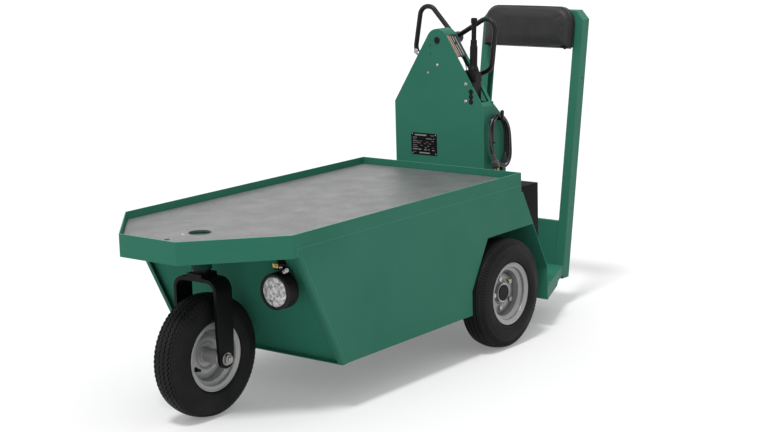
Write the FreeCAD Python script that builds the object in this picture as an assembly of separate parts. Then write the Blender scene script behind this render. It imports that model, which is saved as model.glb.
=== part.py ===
"""Electric burden carrier: a stand-up, three-wheel works truck with a load deck.

Millimetres. +X is the vehicle's left, +Y points to its rear, +Z is up. The floor is Z = 0
and the origin lies under the middle of the whole machine.
"""
import FreeCAD, Part
import math
import os

os.makedirs("parts", exist_ok=True)

# ---------------------------------------------------------------- driving dimensions
# Tyres and wheels (4.80/4.00-8 pneumatic tyres on 8 inch disc wheels)
TYRE_RADIUS = 205.5
TYRE_WIDTH = 120.0
TYRE_SHOULDER = 26.0
RIM_FLANGE_RADIUS = 116.0
RIM_BEAD_RADIUS = 103.0
RIM_WELL_RADIUS = 89.0
RIM_WIDTH = 95.0
RIM_METAL = 4.0
DISC_DEPTH = 47.0
FRONT_PILOT_RADIUS = 28.0
REAR_PILOT_RADIUS = 36.0
HUB_CAP_RADIUS = 30.0
LUG_COUNT = 5
LUG_CIRCLE_RADIUS = 57.0
LUG_RADIUS = 9.5
LUG_HEIGHT = 7.5
VALVE_SLOT_CIRCLE_RADIUS = 76.0
VALVE_SLOT_RADIUS = 5.5
VALVE_SLOT_LENGTH = 34.0
TYRE_CLEARANCE = 7.0
REAR_RIM_FACE = 397.0

# Where the steered wheel stands, measured back from the front edge of the deck
STEER_STATION = 237.0

# Deck tray
SHEET = 3.0
DECK_LENGTH = 1554.0
DECK_WIDTH = 746.0
DECK_NOSE_WIDTH = 250.0
DECK_CORNER_STATION = 264.0
DECK_RIM_TOP = 640.0
DECK_RIM_HEIGHT = 75.0
DECK_RECESS = 26.0
MAT_THICKNESS = 3.0
MAT_MARGIN = 5.0
ACCESS_HOLE_RADIUS = 37.5

# How far things stand behind the deck's rear edge, or ahead of the platform
PLATFORM_BEHIND_DECK = 177.0
POST_BEHIND_PLATFORM = 329.0
AXLE_AHEAD_OF_PLATFORM = 290.0
BULKHEAD_BEHIND_DECK = 10.5
COVER_BEHIND_DECK = 148.0
YOKE_BEHIND_DECK = 121.0
LEVER_BEHIND_DECK = 40.0
COIL_BEHIND_DECK = 81.0

# Body below the deck
BODY_BOTTOM = 167.0
BODY_NOSE_FOOT_STATION = 488.0
NOSE_PANEL_RECESS = 22.0
NOSE_FLANGE = 20.0
ARCH_FRONT_TOP = 256.0
ARCH_TOP = 433.0
ARCH_SHOULDER_AHEAD = 109.0
BULKHEAD_FOLD = 248.0
BULKHEAD_BOTTOM = 118.0

# Control tower
TOWER_WIDTH = 414.6
TOWER_EAVE = 874.0
TOWER_TOP = 1158.0
TOWER_APEX_RADIUS = 50.0
TOWER_UPPER_DEPTH = 67.0
TOWER_LOWER_DEPTH = 145.0
TOWER_SHOULDER_SLOPE = 0.88
TOWER_SLOT_BELOW_TOP = 104.0
TOWER_SLOT_ABOVE_EAVE = 14.0
TOWER_SLOT_RAIL = 13.0
BACK_WINDOW_MARGIN = 15.0
YOKE_BELOW_TOP = 43.0
SHAFT_HOLE_RADIUS = 12.0

# Drive-unit cover between the deck and the platform
COVER_TOP = 579.0
COVER_WIDTH = 706.0
COVER_EDGE_RADIUS = 6.0

# Steering yoke
YOKE_TUBE_RADIUS = 9.5
YOKE_REST_TURN = 9.0
YOKE_HALF_WIDTH = 181.0
YOKE_UPPER_REACH = 95.0
YOKE_LOWER_REACH = 132.0
YOKE_GRIP_DROP = 84.0
YOKE_BEND = 40.0
SHAFT_RADIUS = 11.0
YOKE_HUB_RADIUS = 22.0
YOKE_HUB_LENGTH = 44.0

# Front fork
FORK_TOP = 471.0
FORK_HALF_WIDTH = 95.0
FORK_BAR_WIDTH = 74.0
FORK_BAR_THICKNESS = 12.0
FORK_SHOULDER_RADIUS = 42.0
FORK_BOSS_HALF = 32.0
FORK_BOSS_HEIGHT = 13.0
FORK_EYE_RADIUS = 32.0
AXLE_RADIUS = 10.0
AXLE_NUT_RADIUS = 17.0
AXLE_NUT_WIDTH = 12.0
AXLE_OVERHANG = 18.0
KINGPIN_RADIUS = 16.0
STEERING_HEAD_RADIUS = 34.0
HEAD_GUSSET_REACH = 70.0
THRUST_WASHER = 12.0
KINGPIN_NUT = 14.0

# Operator's platform and backrest frame
PLATFORM_TOP = 169.0
PLATFORM_SKIRT_BOTTOM = 119.0
FRAME_HALF_WIDTH = 240.0
FRAME_LEAN = 9.25
FRAME_TOP = 1181.0
FRAME_FOOT = 117.0
FRAME_DEPTH = 45.0
FRAME_FLANGE = 40.0
FRAME_METAL = 4.0
FRAME_CHAMFER = 36.0
KICK_PANEL_TOP = 343.0
PAD_HALF_WIDTH = 203.0
PAD_BOTTOM = 1033.0
PAD_HEIGHT = 160.0
PAD_THICKNESS = 67.0
PAD_CORNER = 62.0
PAD_LOWER_CORNER = 10.0
PEDAL_X = 95.0
PEDAL_WIDTH = 90.0
PEDAL_HINGE = 43.0
PEDAL_TREAD = 58.0
PEDAL_RISE = 28.0
PEDAL_ARM = 34.0
PEDAL_METAL = 5.0

# Hand-sized pieces
LAMP_RADIUS = 59.0
LAMP_LENS_RADIUS = 50.0
LAMP_DEPTH = 68.0
LAMP_X = 272.0
LAMP_STATION = 283.0
LAMP_HEIGHT = 442.0
LAMP_STUD_BACK = 34.0
LAMP_STUD_REACH = 18.0
LEVER_X = 137.0
LEVER_TILT = 3.0
LEVER_ABOVE_EAVE = 326.0
LEVER_RADIUS = 8.5
LEVER_CAP_RADIUS = 11.5
LEVER_BOX_WIDTH = 54.0
LEVER_BOX_DEPTH = 46.0
LEVER_BOX_HEIGHT = 94.0
LEVER_EAR = 10.0

# Charging lead, coiled on a hook at the tower's left side
CORD_DIAMETER = 8.5
COIL_BELOW_EAVE = 131.0
COIL_HALF_LENGTH = 103.0
COIL_HALF_WIDTH = 63.0
COIL_BAND = 16.0
COIL_DEPTH = 26.0
COIL_STAND_OFF = 4.0
HOOK_RADIUS = 5.0
HOOK_RISE = 32.0
HOOK_AHEAD = 14.0
PLUG_LENGTH = 59.0
PLUG_RADIUS = 14.5
PLUG_TILT = 27.0
BLADE_LENGTH = 17.5
BLADE_SPACING = 12.7

# Heavy masses and running gear
BATTERY_LENGTH = 362.0
BATTERY_WIDTH = 528.0
BATTERY_HEIGHT = 276.0
PAN_MARGIN = 15.0
AXLE_TUBE_RADIUS = 30.0
AXLE_TUBE_HALF = 246.0
AXLE_BOWL_RADIUS = 88.0
AXLE_BOWL_HALF = 70.0
AXLE_BOWL_FLAT = 40.0
AXLE_BOWL_NECK = 45.0
HANGER_INSET = 40.0
HANGER_METAL = 8.0
HANGER_FRONT = 150.0
HANGER_FOOT = 46.0
HANGER_REAR = 90.0
HANGER_WAIST = 190.0
MOTOR_RADIUS = 84.0
MOTOR_LENGTH = 250.0
MOTOR_LIFT = 25.0

# Clearances
SEAT_GAP = 0.3
SHAFT_FIT = 0.1

# ---------------------------------------------------------------- derived places
DECK_UNDERSIDE = DECK_RIM_TOP - DECK_RECESS - MAT_THICKNESS - SHEET
DECK_RIM_BOTTOM = DECK_RIM_TOP - DECK_RIM_HEIGHT
BODY_HALF = DECK_WIDTH / 2
PLATFORM_STATION = DECK_LENGTH + PLATFORM_BEHIND_DECK
POST_STATION = PLATFORM_STATION + POST_BEHIND_PLATFORM
REAR_AXLE_STATION = PLATFORM_STATION - AXLE_AHEAD_OF_PLATFORM
ARCH_SHOULDER_STATION = REAR_AXLE_STATION - ARCH_SHOULDER_AHEAD
BULKHEAD_TOP_STATION = DECK_LENGTH + BULKHEAD_BEHIND_DECK
COVER_REAR_STATION = DECK_LENGTH + COVER_BEHIND_DECK
YOKE_STATION = DECK_LENGTH + YOKE_BEHIND_DECK
LEVER_STATION = DECK_LENGTH + LEVER_BEHIND_DECK
COIL_STATION = DECK_LENGTH + COIL_BEHIND_DECK
MOTOR_FRONT_STATION = REAR_AXLE_STATION - AXLE_BOWL_RADIUS - SEAT_GAP - MOTOR_LENGTH
NOSE_PANEL_FOOT_STATION = BODY_NOSE_FOOT_STATION + NOSE_PANEL_RECESS
BATTERY_STATION = (NOSE_PANEL_FOOT_STATION + MOTOR_FRONT_STATION - BATTERY_LENGTH) / 2
TOWER_FRONT_STATION = DECK_LENGTH + SEAT_GAP
TOWER_SLOT_TOP = TOWER_TOP - TOWER_SLOT_BELOW_TOP
TOWER_SLOT_BOTTOM = TOWER_EAVE + TOWER_SLOT_ABOVE_EAVE
TOWER_SHOULDER_TOP = TOWER_EAVE + SHEET + 1.0
YOKE_AXIS_HEIGHT = TOWER_TOP - YOKE_BELOW_TOP
LEVER_TOP = TOWER_EAVE + LEVER_ABOVE_EAVE
COIL_NEAR = TOWER_WIDTH / 2 + COIL_STAND_OFF
COIL_HEIGHT = TOWER_EAVE - COIL_BELOW_EAVE
LEAN = math.radians(FRAME_LEAN)
OVERALL_LENGTH = POST_STATION + (FRAME_TOP - PLATFORM_TOP) * math.tan(LEAN) + FRAME_DEPTH
BULKHEAD_SLOPE = (PLATFORM_STATION - BULKHEAD_TOP_STATION) / (DECK_RIM_BOTTOM - BULKHEAD_FOLD)


def vec(x, y, z):
    return FreeCAD.Vector(x, y, z)


def y_of(station):
    """Turn a distance behind the deck's front edge into the model's Y."""
    return station - OVERALL_LENGTH / 2


def save(name, shape):
    shape.exportStep("parts/" + name + ".step")
    print(name, "solids", len(shape.Solids), "valid", shape.isValid(), "volume", round(shape.Volume))


# ---------------------------------------------------------------- shape helpers
def box(x0, x1, y0, y1, z0, z1):
    return Part.makeBox(x1 - x0, y1 - y0, z1 - z0, vec(x0, y0, z0))


def rod(start, end, radius):
    """A round bar between two points."""
    line = vec(*end) - vec(*start)
    return Part.makeCylinder(radius, line.Length, vec(*start), line)


def tube(start, end, radius, bore):
    return rod(start, end, radius).cut(rod(start, end, bore))


def corner_cut(before, corner, after, radius):
    """Start, middle and end of the arc that rounds one corner of a path."""
    back = before.sub(corner).normalize()
    ahead = after.sub(corner).normalize()
    half = back.getAngle(ahead) / 2
    reach = radius / math.tan(half)
    bisector = back.add(ahead).normalize()
    centre = corner + bisector * (radius / math.sin(half))
    return corner + back * reach, centre - bisector * radius, corner + ahead * reach


def rounded_wire(points, radii, closed):
    """Straight runs through the points, each corner rounded by its radius (0 keeps it sharp)."""
    count = len(points)
    edges = []
    last = None
    first = None
    for index, corner in enumerate(points):
        inner = closed or 0 < index < count - 1
        if inner and radii[index] > 0:
            before = points[index - 1]
            after = points[(index + 1) % count]
            start, middle, end = corner_cut(before, corner, after, radii[index])
        else:
            start, middle, end = corner, None, corner
        if last is not None and last.distanceToPoint(start) > 1e-6:
            edges.append(Part.LineSegment(last, start).toShape())
        if middle is not None:
            edges.append(Part.Arc(start, middle, end).toShape())
        last = end
        first = start if first is None else first
    if closed and last.distanceToPoint(first) > 1e-6:
        edges.append(Part.LineSegment(last, first).toShape())
    return Part.Wire(edges)


def slab(points, radii, push):
    """A flat plate: its outline's corners rounded, pushed along one direction."""
    wire = rounded_wire([vec(*p) for p in points], radii, True)
    return Part.Face(wire).extrude(vec(*push))


def plate_xy(points, z0, thickness):
    return slab([(x, y, z0) for x, y in points], [0] * len(points), (0, 0, thickness))


def plate_yz(points, x0, thickness):
    return slab([(x0, y, z) for y, z in points], [0] * len(points), (thickness, 0, 0))


def plate_xz(points, y0, thickness, radii=None):
    return slab([(x, y0, z) for x, z in points], radii or [0] * len(points), (0, thickness, 0))


def mirrored(points):
    """Close a right-hand half outline with its mirror image about X = 0."""
    return points + [(-x, other) for x, other in reversed(points)]


def offset_line(points, distance):
    """Shift an open polyline sideways to its left, with mitred corners."""
    flat = [FreeCAD.Vector(a, b, 0) for a, b in points]
    sides = []
    for start, end in zip(flat, flat[1:]):
        along = end.sub(start).normalize()
        sides.append(FreeCAD.Vector(-along.y, along.x, 0))
    shifted = []
    for index, point in enumerate(flat):
        left = sides[max(index - 1, 0)]
        right = sides[min(index, len(sides) - 1)]
        mitre = left.add(right).normalize()
        moved = point + mitre * (distance / mitre.dot(left))
        shifted.append((moved.x, moved.y))
    return shifted


def bent_sheet_yz(points, thickness, x0, x1):
    """Folded sheet whose bends run across the machine: a YZ line with thickness to its left."""
    outline = points + list(reversed(offset_line(points, thickness)))
    return plate_yz(outline, x0, x1 - x0)


def spun_x(profile, y, z):
    """A body of revolution about a line along X: the profile is a list of (x, radius)."""
    wire = Part.makePolygon([vec(x, y, z + radius) for x, radius in profile + profile[:1]])
    return Part.Face(wire).revolve(vec(0, y, z), vec(1, 0, 0), 360)


def ring_of(tool, count, y, z, first_angle=0.0):
    """Copies of one tool, evenly spaced about a line along X."""
    copies = []
    for index in range(count):
        copy = tool.copy()
        copy.rotate(vec(0, y, z), vec(1, 0, 0), first_angle + 360.0 * index / count)
        copies.append(copy)
    return copies


def bent_rod(points, radii, radius, closed=False):
    """A round bar or tube bent along a path with tangent arcs."""
    path = rounded_wire(points, radii, closed)
    start = path.Edges[0].valueAt(path.Edges[0].FirstParameter)
    heading = path.Edges[0].tangentAt(path.Edges[0].FirstParameter)
    section = Part.Wire(Part.makeCircle(radius, start, heading))
    return path.makePipeShell([section], True, True)


# ---------------------------------------------------------------- deck
def deck_outline(inset):
    """The deck's plan, drawn in by a margin: a rectangle whose two front corners are cut off."""
    half = DECK_WIDTH / 2
    cut_x = half - DECK_NOSE_WIDTH / 2
    cut_angle = math.atan2(cut_x, DECK_CORNER_STATION)
    nose = DECK_NOSE_WIDTH / 2 - inset * math.tan((math.pi / 2 - cut_angle) / 2)
    corner = DECK_CORNER_STATION + inset * math.tan(cut_angle / 2)
    right = [
        (nose, y_of(inset)),
        (half - inset, y_of(corner)),
        (half - inset, y_of(DECK_LENGTH - inset)),
    ]
    return mirrored(right)


def deck_rim():
    """Upright band round the deck, flush with the body sides that it stands on."""
    outer = plate_xy(deck_outline(0), DECK_RIM_BOTTOM, DECK_RIM_HEIGHT)
    inner = plate_xy(deck_outline(SHEET), DECK_RIM_BOTTOM, DECK_RIM_HEIGHT)
    return outer.cut(inner)


def access_hole(bottom, top):
    y = y_of(STEER_STATION)
    return rod((0, y, bottom), (0, y, top), ACCESS_HOLE_RADIUS)


def deck_floor():
    floor = plate_xy(deck_outline(SHEET), DECK_UNDERSIDE, SHEET)
    return floor.cut(access_hole(DECK_UNDERSIDE - 1, DECK_UNDERSIDE + SHEET + 1))


def deck_mat():
    bottom = DECK_UNDERSIDE + SHEET
    mat = plate_xy(deck_outline(SHEET + MAT_MARGIN), bottom, MAT_THICKNESS)
    return mat.cut(access_hole(bottom - 1, bottom + MAT_THICKNESS + 1))


# ---------------------------------------------------------------- body below the deck
def nose_station(height, recess=0.0):
    """Station of the body's slanted front edge at one height."""
    run = BODY_NOSE_FOOT_STATION - DECK_CORNER_STATION
    rise = DECK_UNDERSIDE - BODY_BOTTOM
    return DECK_CORNER_STATION + recess + run * (DECK_UNDERSIDE - height) / rise


def bulkhead_station(height):
    """Station of the bulkhead's rear face at one height."""
    if height < BULKHEAD_FOLD:
        return PLATFORM_STATION
    return BULKHEAD_TOP_STATION + (DECK_RIM_BOTTOM - height) * BULKHEAD_SLOPE


def side_panel(side):
    """One body side: flat sheet, wheel arch cut from it, its front edge folded inwards."""
    arch_front = REAR_AXLE_STATION - TYRE_RADIUS - TYRE_CLEARANCE
    seat = SHEET * math.hypot(1, BULKHEAD_SLOPE)
    outline = [
        (nose_station(DECK_RIM_BOTTOM), DECK_RIM_BOTTOM),
        (BODY_NOSE_FOOT_STATION, BODY_BOTTOM),
        (arch_front, BODY_BOTTOM),
        (arch_front, ARCH_FRONT_TOP),
        (ARCH_SHOULDER_STATION, ARCH_TOP),
        (bulkhead_station(ARCH_TOP) - seat, ARCH_TOP),
        (bulkhead_station(DECK_RIM_BOTTOM) - seat, DECK_RIM_BOTTOM),
    ]
    flat = [(y_of(station), z) for station, z in outline]
    outer = side * BODY_HALF
    inner = side * (BODY_HALF - SHEET)
    sheet = plate_yz(flat, inner, outer - inner)
    edge = [(y_of(nose_station(z)), z) for z in (BODY_BOTTOM, DECK_RIM_BOTTOM)]
    flange_edge = side * (BODY_HALF - NOSE_FLANGE)
    flange = bent_sheet_yz(edge, -SHEET, min(flange_edge, outer), max(flange_edge, outer))
    whole = sheet.fuse(flange).removeSplitter()
    return whole.common(box(-BODY_HALF, BODY_HALF, -9999, 9999, BODY_BOTTOM, DECK_RIM_BOTTOM))


def nose_panel():
    """Slanted closing sheet behind the front wheel, with a stiffening flange at its foot."""
    top = DECK_UNDERSIDE
    foot = y_of(nose_station(BODY_BOTTOM, NOSE_PANEL_RECESS))
    line = [
        (foot - NOSE_FLANGE, BODY_BOTTOM),
        (foot, BODY_BOTTOM),
        (y_of(nose_station(top, NOSE_PANEL_RECESS)), top),
    ]
    half = BODY_HALF - SHEET
    return bent_sheet_yz(line, -SHEET, -half, half).common(box(-half, half, -9999, 9999, 0, top))


def bottom_pan():
    """Battery floor behind the nose panel, turned up at its rear edge."""
    half = BODY_HALF - SHEET
    front = y_of(nose_station(BODY_BOTTOM, NOSE_PANEL_RECESS)) + SHEET * 2
    rear = y_of(BATTERY_STATION + BATTERY_LENGTH + PAN_MARGIN)
    line = [(front, BODY_BOTTOM + SHEET), (rear, BODY_BOTTOM + SHEET), (rear, ARCH_FRONT_TOP)]
    return bent_sheet_yz(line, -SHEET, -half, half)


def rear_bulkhead():
    """Full-width sheet behind the wheels: slanted, then folded upright down to the platform."""
    line = [
        (y_of(PLATFORM_STATION), BULKHEAD_BOTTOM),
        (y_of(PLATFORM_STATION), BULKHEAD_FOLD),
        (y_of(BULKHEAD_TOP_STATION), DECK_RIM_BOTTOM),
    ]
    return bent_sheet_yz(line, SHEET, -BODY_HALF, BODY_HALF)


def deck_crossmembers():
    """Folded hat-shaped bearers that carry the deck floor between the body sides."""
    hat_top = 60.0
    hat_foot = 20.0
    depth = 38.0
    half = BODY_HALF - SHEET
    members = []
    for station in (BATTERY_STATION - 160.0, BATTERY_STATION + BATTERY_LENGTH + 110.0):
        y = y_of(station)
        line = [
            (y - hat_top / 2 - hat_foot, DECK_UNDERSIDE),
            (y - hat_top / 2, DECK_UNDERSIDE),
            (y - hat_top / 2, DECK_UNDERSIDE - depth),
            (y + hat_top / 2, DECK_UNDERSIDE - depth),
            (y + hat_top / 2, DECK_UNDERSIDE),
            (y + hat_top / 2 + hat_foot, DECK_UNDERSIDE),
        ]
        members.append(bent_sheet_yz(line, -SHEET, -half, half))
    return Part.makeCompound(members)


def drive_cover():
    """Black housing over the drive unit, between the deck's rear rim and the platform."""
    front = y_of(DECK_LENGTH + SEAT_GAP)
    rear = y_of(COVER_REAR_STATION)
    half = COVER_WIDTH / 2
    gap = SEAT_GAP * math.hypot(1, BULKHEAD_SLOPE)
    low = DECK_RIM_BOTTOM - (COVER_REAR_STATION - gap - BULKHEAD_TOP_STATION) / BULKHEAD_SLOPE
    lip = DECK_RIM_BOTTOM + SEAT_GAP
    outline = [
        (front, lip), (y_of(BULKHEAD_TOP_STATION) + gap, lip), (rear, low), (rear, COVER_TOP),
        (front, COVER_TOP),
    ]
    cover = plate_yz(outline, -half, 2 * half)
    edges = [e for e in cover.Edges if e.BoundBox.YMin > rear - 1 and e.BoundBox.ZMax > COVER_TOP - 1]
    return cover.makeFillet(COVER_EDGE_RADIUS, edges)


# ---------------------------------------------------------------- steering head, fork, wheel
def steering_head():
    """Kingpin tube hung below the deck's access hole by two welded gussets."""
    y = y_of(STEER_STATION)
    low = FORK_TOP + FORK_BOSS_HEIGHT + THRUST_WASHER
    high = DECK_UNDERSIDE - KINGPIN_NUT
    head = tube((0, y, low), (0, y, high), STEERING_HEAD_RADIUS, KINGPIN_RADIUS + SHAFT_FIT)
    gusset = [
        (STEERING_HEAD_RADIUS - 2, low + 10), (STEERING_HEAD_RADIUS + HEAD_GUSSET_REACH, DECK_UNDERSIDE),
        (ACCESS_HOLE_RADIUS + 4, DECK_UNDERSIDE), (STEERING_HEAD_RADIUS - 2, high),
    ]
    for side in (1, -1):
        head = head.fuse(plate_xz([(side * x, z) for x, z in gusset], y - 4, 8))
    return head.removeSplitter()


def fork():
    """Flat bar bent to an upside-down U, a thick plate on its crown, an axle eye at each foot."""
    y = y_of(STEER_STATION)
    axle = TYRE_RADIUS
    outer_half = FORK_HALF_WIDTH
    inner_half = FORK_HALF_WIDTH - FORK_BAR_THICKNESS
    foot = axle - FORK_EYE_RADIUS
    crown = FORK_TOP - FORK_BAR_THICKNESS
    inner_radius = FORK_SHOULDER_RADIUS - FORK_BAR_THICKNESS
    outer = mirrored([(outer_half, foot), (outer_half, FORK_TOP)])
    inner = mirrored([(inner_half, foot), (inner_half, crown)])
    start = y - FORK_BAR_WIDTH / 2
    bow = plate_xz(outer, start, FORK_BAR_WIDTH, [0, FORK_SHOULDER_RADIUS, FORK_SHOULDER_RADIUS, 0])
    bow = bow.cut(plate_xz(inner, start, FORK_BAR_WIDTH, [0, inner_radius, inner_radius, 0]))
    side_view = [
        (y - FORK_BAR_WIDTH / 2, FORK_TOP),
        (y - FORK_BAR_WIDTH / 2, axle + 90.0),
        (y - FORK_EYE_RADIUS, axle),
        (y - FORK_EYE_RADIUS, foot),
        (y + FORK_EYE_RADIUS, foot),
        (y + FORK_EYE_RADIUS, axle),
        (y + FORK_BAR_WIDTH / 2, axle + 90.0),
        (y + FORK_BAR_WIDTH / 2, FORK_TOP),
    ]
    eye = FORK_EYE_RADIUS - 0.5
    trim = slab([(-outer_half, a, b) for a, b in side_view], [0, 0, 0, eye, eye, 0, 0, 0],
                (2 * outer_half, 0, 0))
    bow = bow.common(trim)
    bow = bow.cut(rod((-outer_half, y, axle), (outer_half, y, axle), AXLE_RADIUS + SEAT_GAP))
    boss_end = start + FORK_BAR_WIDTH
    boss = box(-FORK_BOSS_HALF, FORK_BOSS_HALF, start, boss_end, FORK_TOP, FORK_TOP + FORK_BOSS_HEIGHT)
    bow = bow.fuse(boss).removeSplitter()
    return bow.cut(rod((0, y, FORK_TOP - 40), (0, y, FORK_TOP + FORK_BOSS_HEIGHT + 1), KINGPIN_RADIUS))


def kingpin():
    """Kingpin through the steering head, with its thrust washer and castle nut."""
    y = y_of(STEER_STATION)
    foot = FORK_TOP - FORK_BAR_THICKNESS
    seat = FORK_TOP + FORK_BOSS_HEIGHT
    nut_seat = DECK_UNDERSIDE - KINGPIN_NUT + SEAT_GAP
    pin = rod((0, y, foot), (0, y, nut_seat + KINGPIN_NUT), KINGPIN_RADIUS)
    washer = rod((0, y, seat), (0, y, seat + THRUST_WASHER - SEAT_GAP), STEERING_HEAD_RADIUS - 4)
    nut = hexagon(0, y, nut_seat, KINGPIN_RADIUS * 1.7, KINGPIN_NUT - 2.0)
    return pin.fuse([washer, nut]).removeSplitter()


def hexagon(x, y, z, radius, height):
    """An upright hexagonal nut or bolt head."""
    corners = []
    for index in range(6):
        angle = math.radians(60 * index)
        corners.append((x + radius * math.cos(angle), y + radius * math.sin(angle)))
    return plate_xy(corners, z, height)


def axle_nut(x, y, z, radius, width):
    """A hexagonal nut on a line along X, reaching from x by its signed width."""
    corners = []
    for index in range(6):
        angle = math.radians(60 * index + 15)
        corners.append((y + radius * math.cos(angle), z + radius * math.sin(angle)))
    return plate_yz(corners, x, width)


def fork_axle():
    y = y_of(STEER_STATION)
    reach = FORK_HALF_WIDTH + AXLE_OVERHANG
    seat = FORK_HALF_WIDTH + SEAT_GAP
    axle = rod((-reach, y, TYRE_RADIUS), (reach, y, TYRE_RADIUS), AXLE_RADIUS)
    for side in (1, -1):
        axle = axle.fuse(axle_nut(side * seat, y, TYRE_RADIUS, AXLE_NUT_RADIUS, side * AXLE_NUT_WIDTH))
    return axle.removeSplitter()


def tyre(centre_x, station):
    """Pneumatic tyre: round-shouldered crown, bulging walls, beads on the rim seats."""
    y = y_of(station)
    z = TYRE_RADIUS
    half = TYRE_WIDTH / 2
    bead = RIM_WIDTH / 2 - RIM_METAL - SEAT_GAP
    bead_radius = RIM_BEAD_RADIUS + SEAT_GAP
    crown_half = half - TYRE_SHOULDER * 0.62
    shoulder_radius = TYRE_RADIUS - TYRE_SHOULDER
    belly = (shoulder_radius + RIM_FLANGE_RADIUS) / 2 + 4.0
    wall_foot = RIM_FLANGE_RADIUS + 6

    def point(x, radius):
        return vec(centre_x + x, y, z + radius)

    crown_edge = TYRE_RADIUS - 4.5
    edges = [
        Part.Arc(point(-crown_half, crown_edge), point(0, TYRE_RADIUS), point(crown_half, crown_edge)),
        Part.Arc(point(crown_half, crown_edge), point(half - 5.5, shoulder_radius + 8),
                 point(half - 1.5, shoulder_radius - 7)),
        Part.Arc(point(half - 1.5, shoulder_radius - 7), point(half, belly),
                 point(half - 6, wall_foot)),
        Part.LineSegment(point(half - 6, wall_foot), point(bead, RIM_FLANGE_RADIUS + 1.5)),
        Part.LineSegment(point(bead, RIM_FLANGE_RADIUS + 1.5), point(bead, bead_radius)),
        Part.LineSegment(point(bead, bead_radius), point(bead - 16, bead_radius)),
        Part.LineSegment(point(bead - 16, bead_radius), point(bead - 12, belly)),
        Part.Arc(point(bead - 12, belly), point(0, TYRE_RADIUS - 14), point(12 - bead, belly)),
        Part.LineSegment(point(12 - bead, belly), point(16 - bead, bead_radius)),
        Part.LineSegment(point(16 - bead, bead_radius), point(-bead, bead_radius)),
        Part.LineSegment(point(-bead, bead_radius), point(-bead, RIM_FLANGE_RADIUS + 1.5)),
        Part.LineSegment(point(-bead, RIM_FLANGE_RADIUS + 1.5), point(6 - half, wall_foot)),
        Part.Arc(point(6 - half, wall_foot), point(-half, belly),
                 point(1.5 - half, shoulder_radius - 7)),
        Part.Arc(point(1.5 - half, shoulder_radius - 7), point(5.5 - half, shoulder_radius + 8),
                 point(-crown_half, crown_edge)),
    ]
    section = Part.Face(Part.Wire([edge.toShape() for edge in edges]))
    return section.revolve(vec(centre_x, y, z), vec(1, 0, 0), 360)


def valve_slot(centre_x, y, z, angle):
    """Cutter for the slot that lets the valve through the disc, turned from the top forwards."""
    end = VALVE_SLOT_LENGTH / 2 - VALVE_SLOT_RADIUS
    height = z + VALVE_SLOT_CIRCLE_RADIUS
    start = centre_x - RIM_WIDTH / 2
    low = height - VALVE_SLOT_RADIUS
    slot = box(start, start + RIM_WIDTH, y - end, y + end, low, low + 2 * VALVE_SLOT_RADIUS)
    for side_y in (y - end, y + end):
        slot = slot.fuse(rod((start, side_y, height), (start + RIM_WIDTH, side_y, height), VALVE_SLOT_RADIUS))
    slot.rotate(vec(centre_x, y, z), vec(1, 0, 0), angle)
    return slot


def rim(centre_x, station, side, pilot, slot_angle):
    """Pressed disc wheel: drop-centre rim with rolled flanges and a dished disc on its pilot."""
    y = y_of(station)
    z = TYRE_RADIUS
    half = RIM_WIDTH / 2
    metal = RIM_METAL
    outside = [
        (-half, RIM_FLANGE_RADIUS - 6), (-half, RIM_FLANGE_RADIUS), (metal - half, RIM_FLANGE_RADIUS),
        (metal - half, RIM_BEAD_RADIUS), (22 - half, RIM_BEAD_RADIUS - 1), (30 - half, RIM_WELL_RADIUS),
    ]
    drum = outside + [(-x, radius) for x, radius in reversed(outside)]
    inside = [
        (half, RIM_FLANGE_RADIUS - 12), (half - 4, RIM_BEAD_RADIUS - metal),
        (half - 21, RIM_BEAD_RADIUS - metal - 1), (half - 29, RIM_WELL_RADIUS - metal),
    ]
    drum += inside + [(-x, radius) for x, radius in reversed(inside)]
    shell = spun_x([(centre_x + x, radius) for x, radius in drum], y, z)
    well = RIM_WELL_RADIUS - metal
    face = half - DISC_DEPTH
    bore = pilot + SEAT_GAP
    disc_line = [
        (face, bore), (face, 40), (face + 7, 50), (face + 7, 62), (face - 1, well - 6),
        (face - 5, well), (face - 22, well),
    ]
    disc_back = [
        (face - 22, well - metal), (face - 8, well - metal), (face - 5, well - 10), (face + 3, 60),
        (face + 3, 52), (face - 4, 42), (face - 4, bore),
    ]
    disc = spun_x([(centre_x + side * x, radius) for x, radius in disc_line + disc_back], y, z)
    disc = disc.cut(valve_slot(centre_x, y, z, slot_angle))
    return shell.fuse(disc).removeSplitter()


def front_hub():
    """Bearing hub clamped to the front wheel's disc, bored for the fork axle."""
    y = y_of(STEER_STATION)
    z = TYRE_RADIUS
    face = RIM_WIDTH / 2 - DISC_DEPTH
    reach = FORK_HALF_WIDTH - FORK_BAR_THICKNESS - 5.0
    bore = AXLE_RADIUS + SEAT_GAP
    profile = [
        (-reach, bore), (-reach, 18), (-reach + 8, 26), (face - 12, 30), (face - 12, 48),
        (face - 4 - SEAT_GAP, 48), (face - 4 - SEAT_GAP, FRONT_PILOT_RADIUS), (face + 4, FRONT_PILOT_RADIUS),
        (face + 4, 24), (reach - 8, 24), (reach, 18), (reach, bore),
    ]
    return spun_x(profile, y, z)


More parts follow.
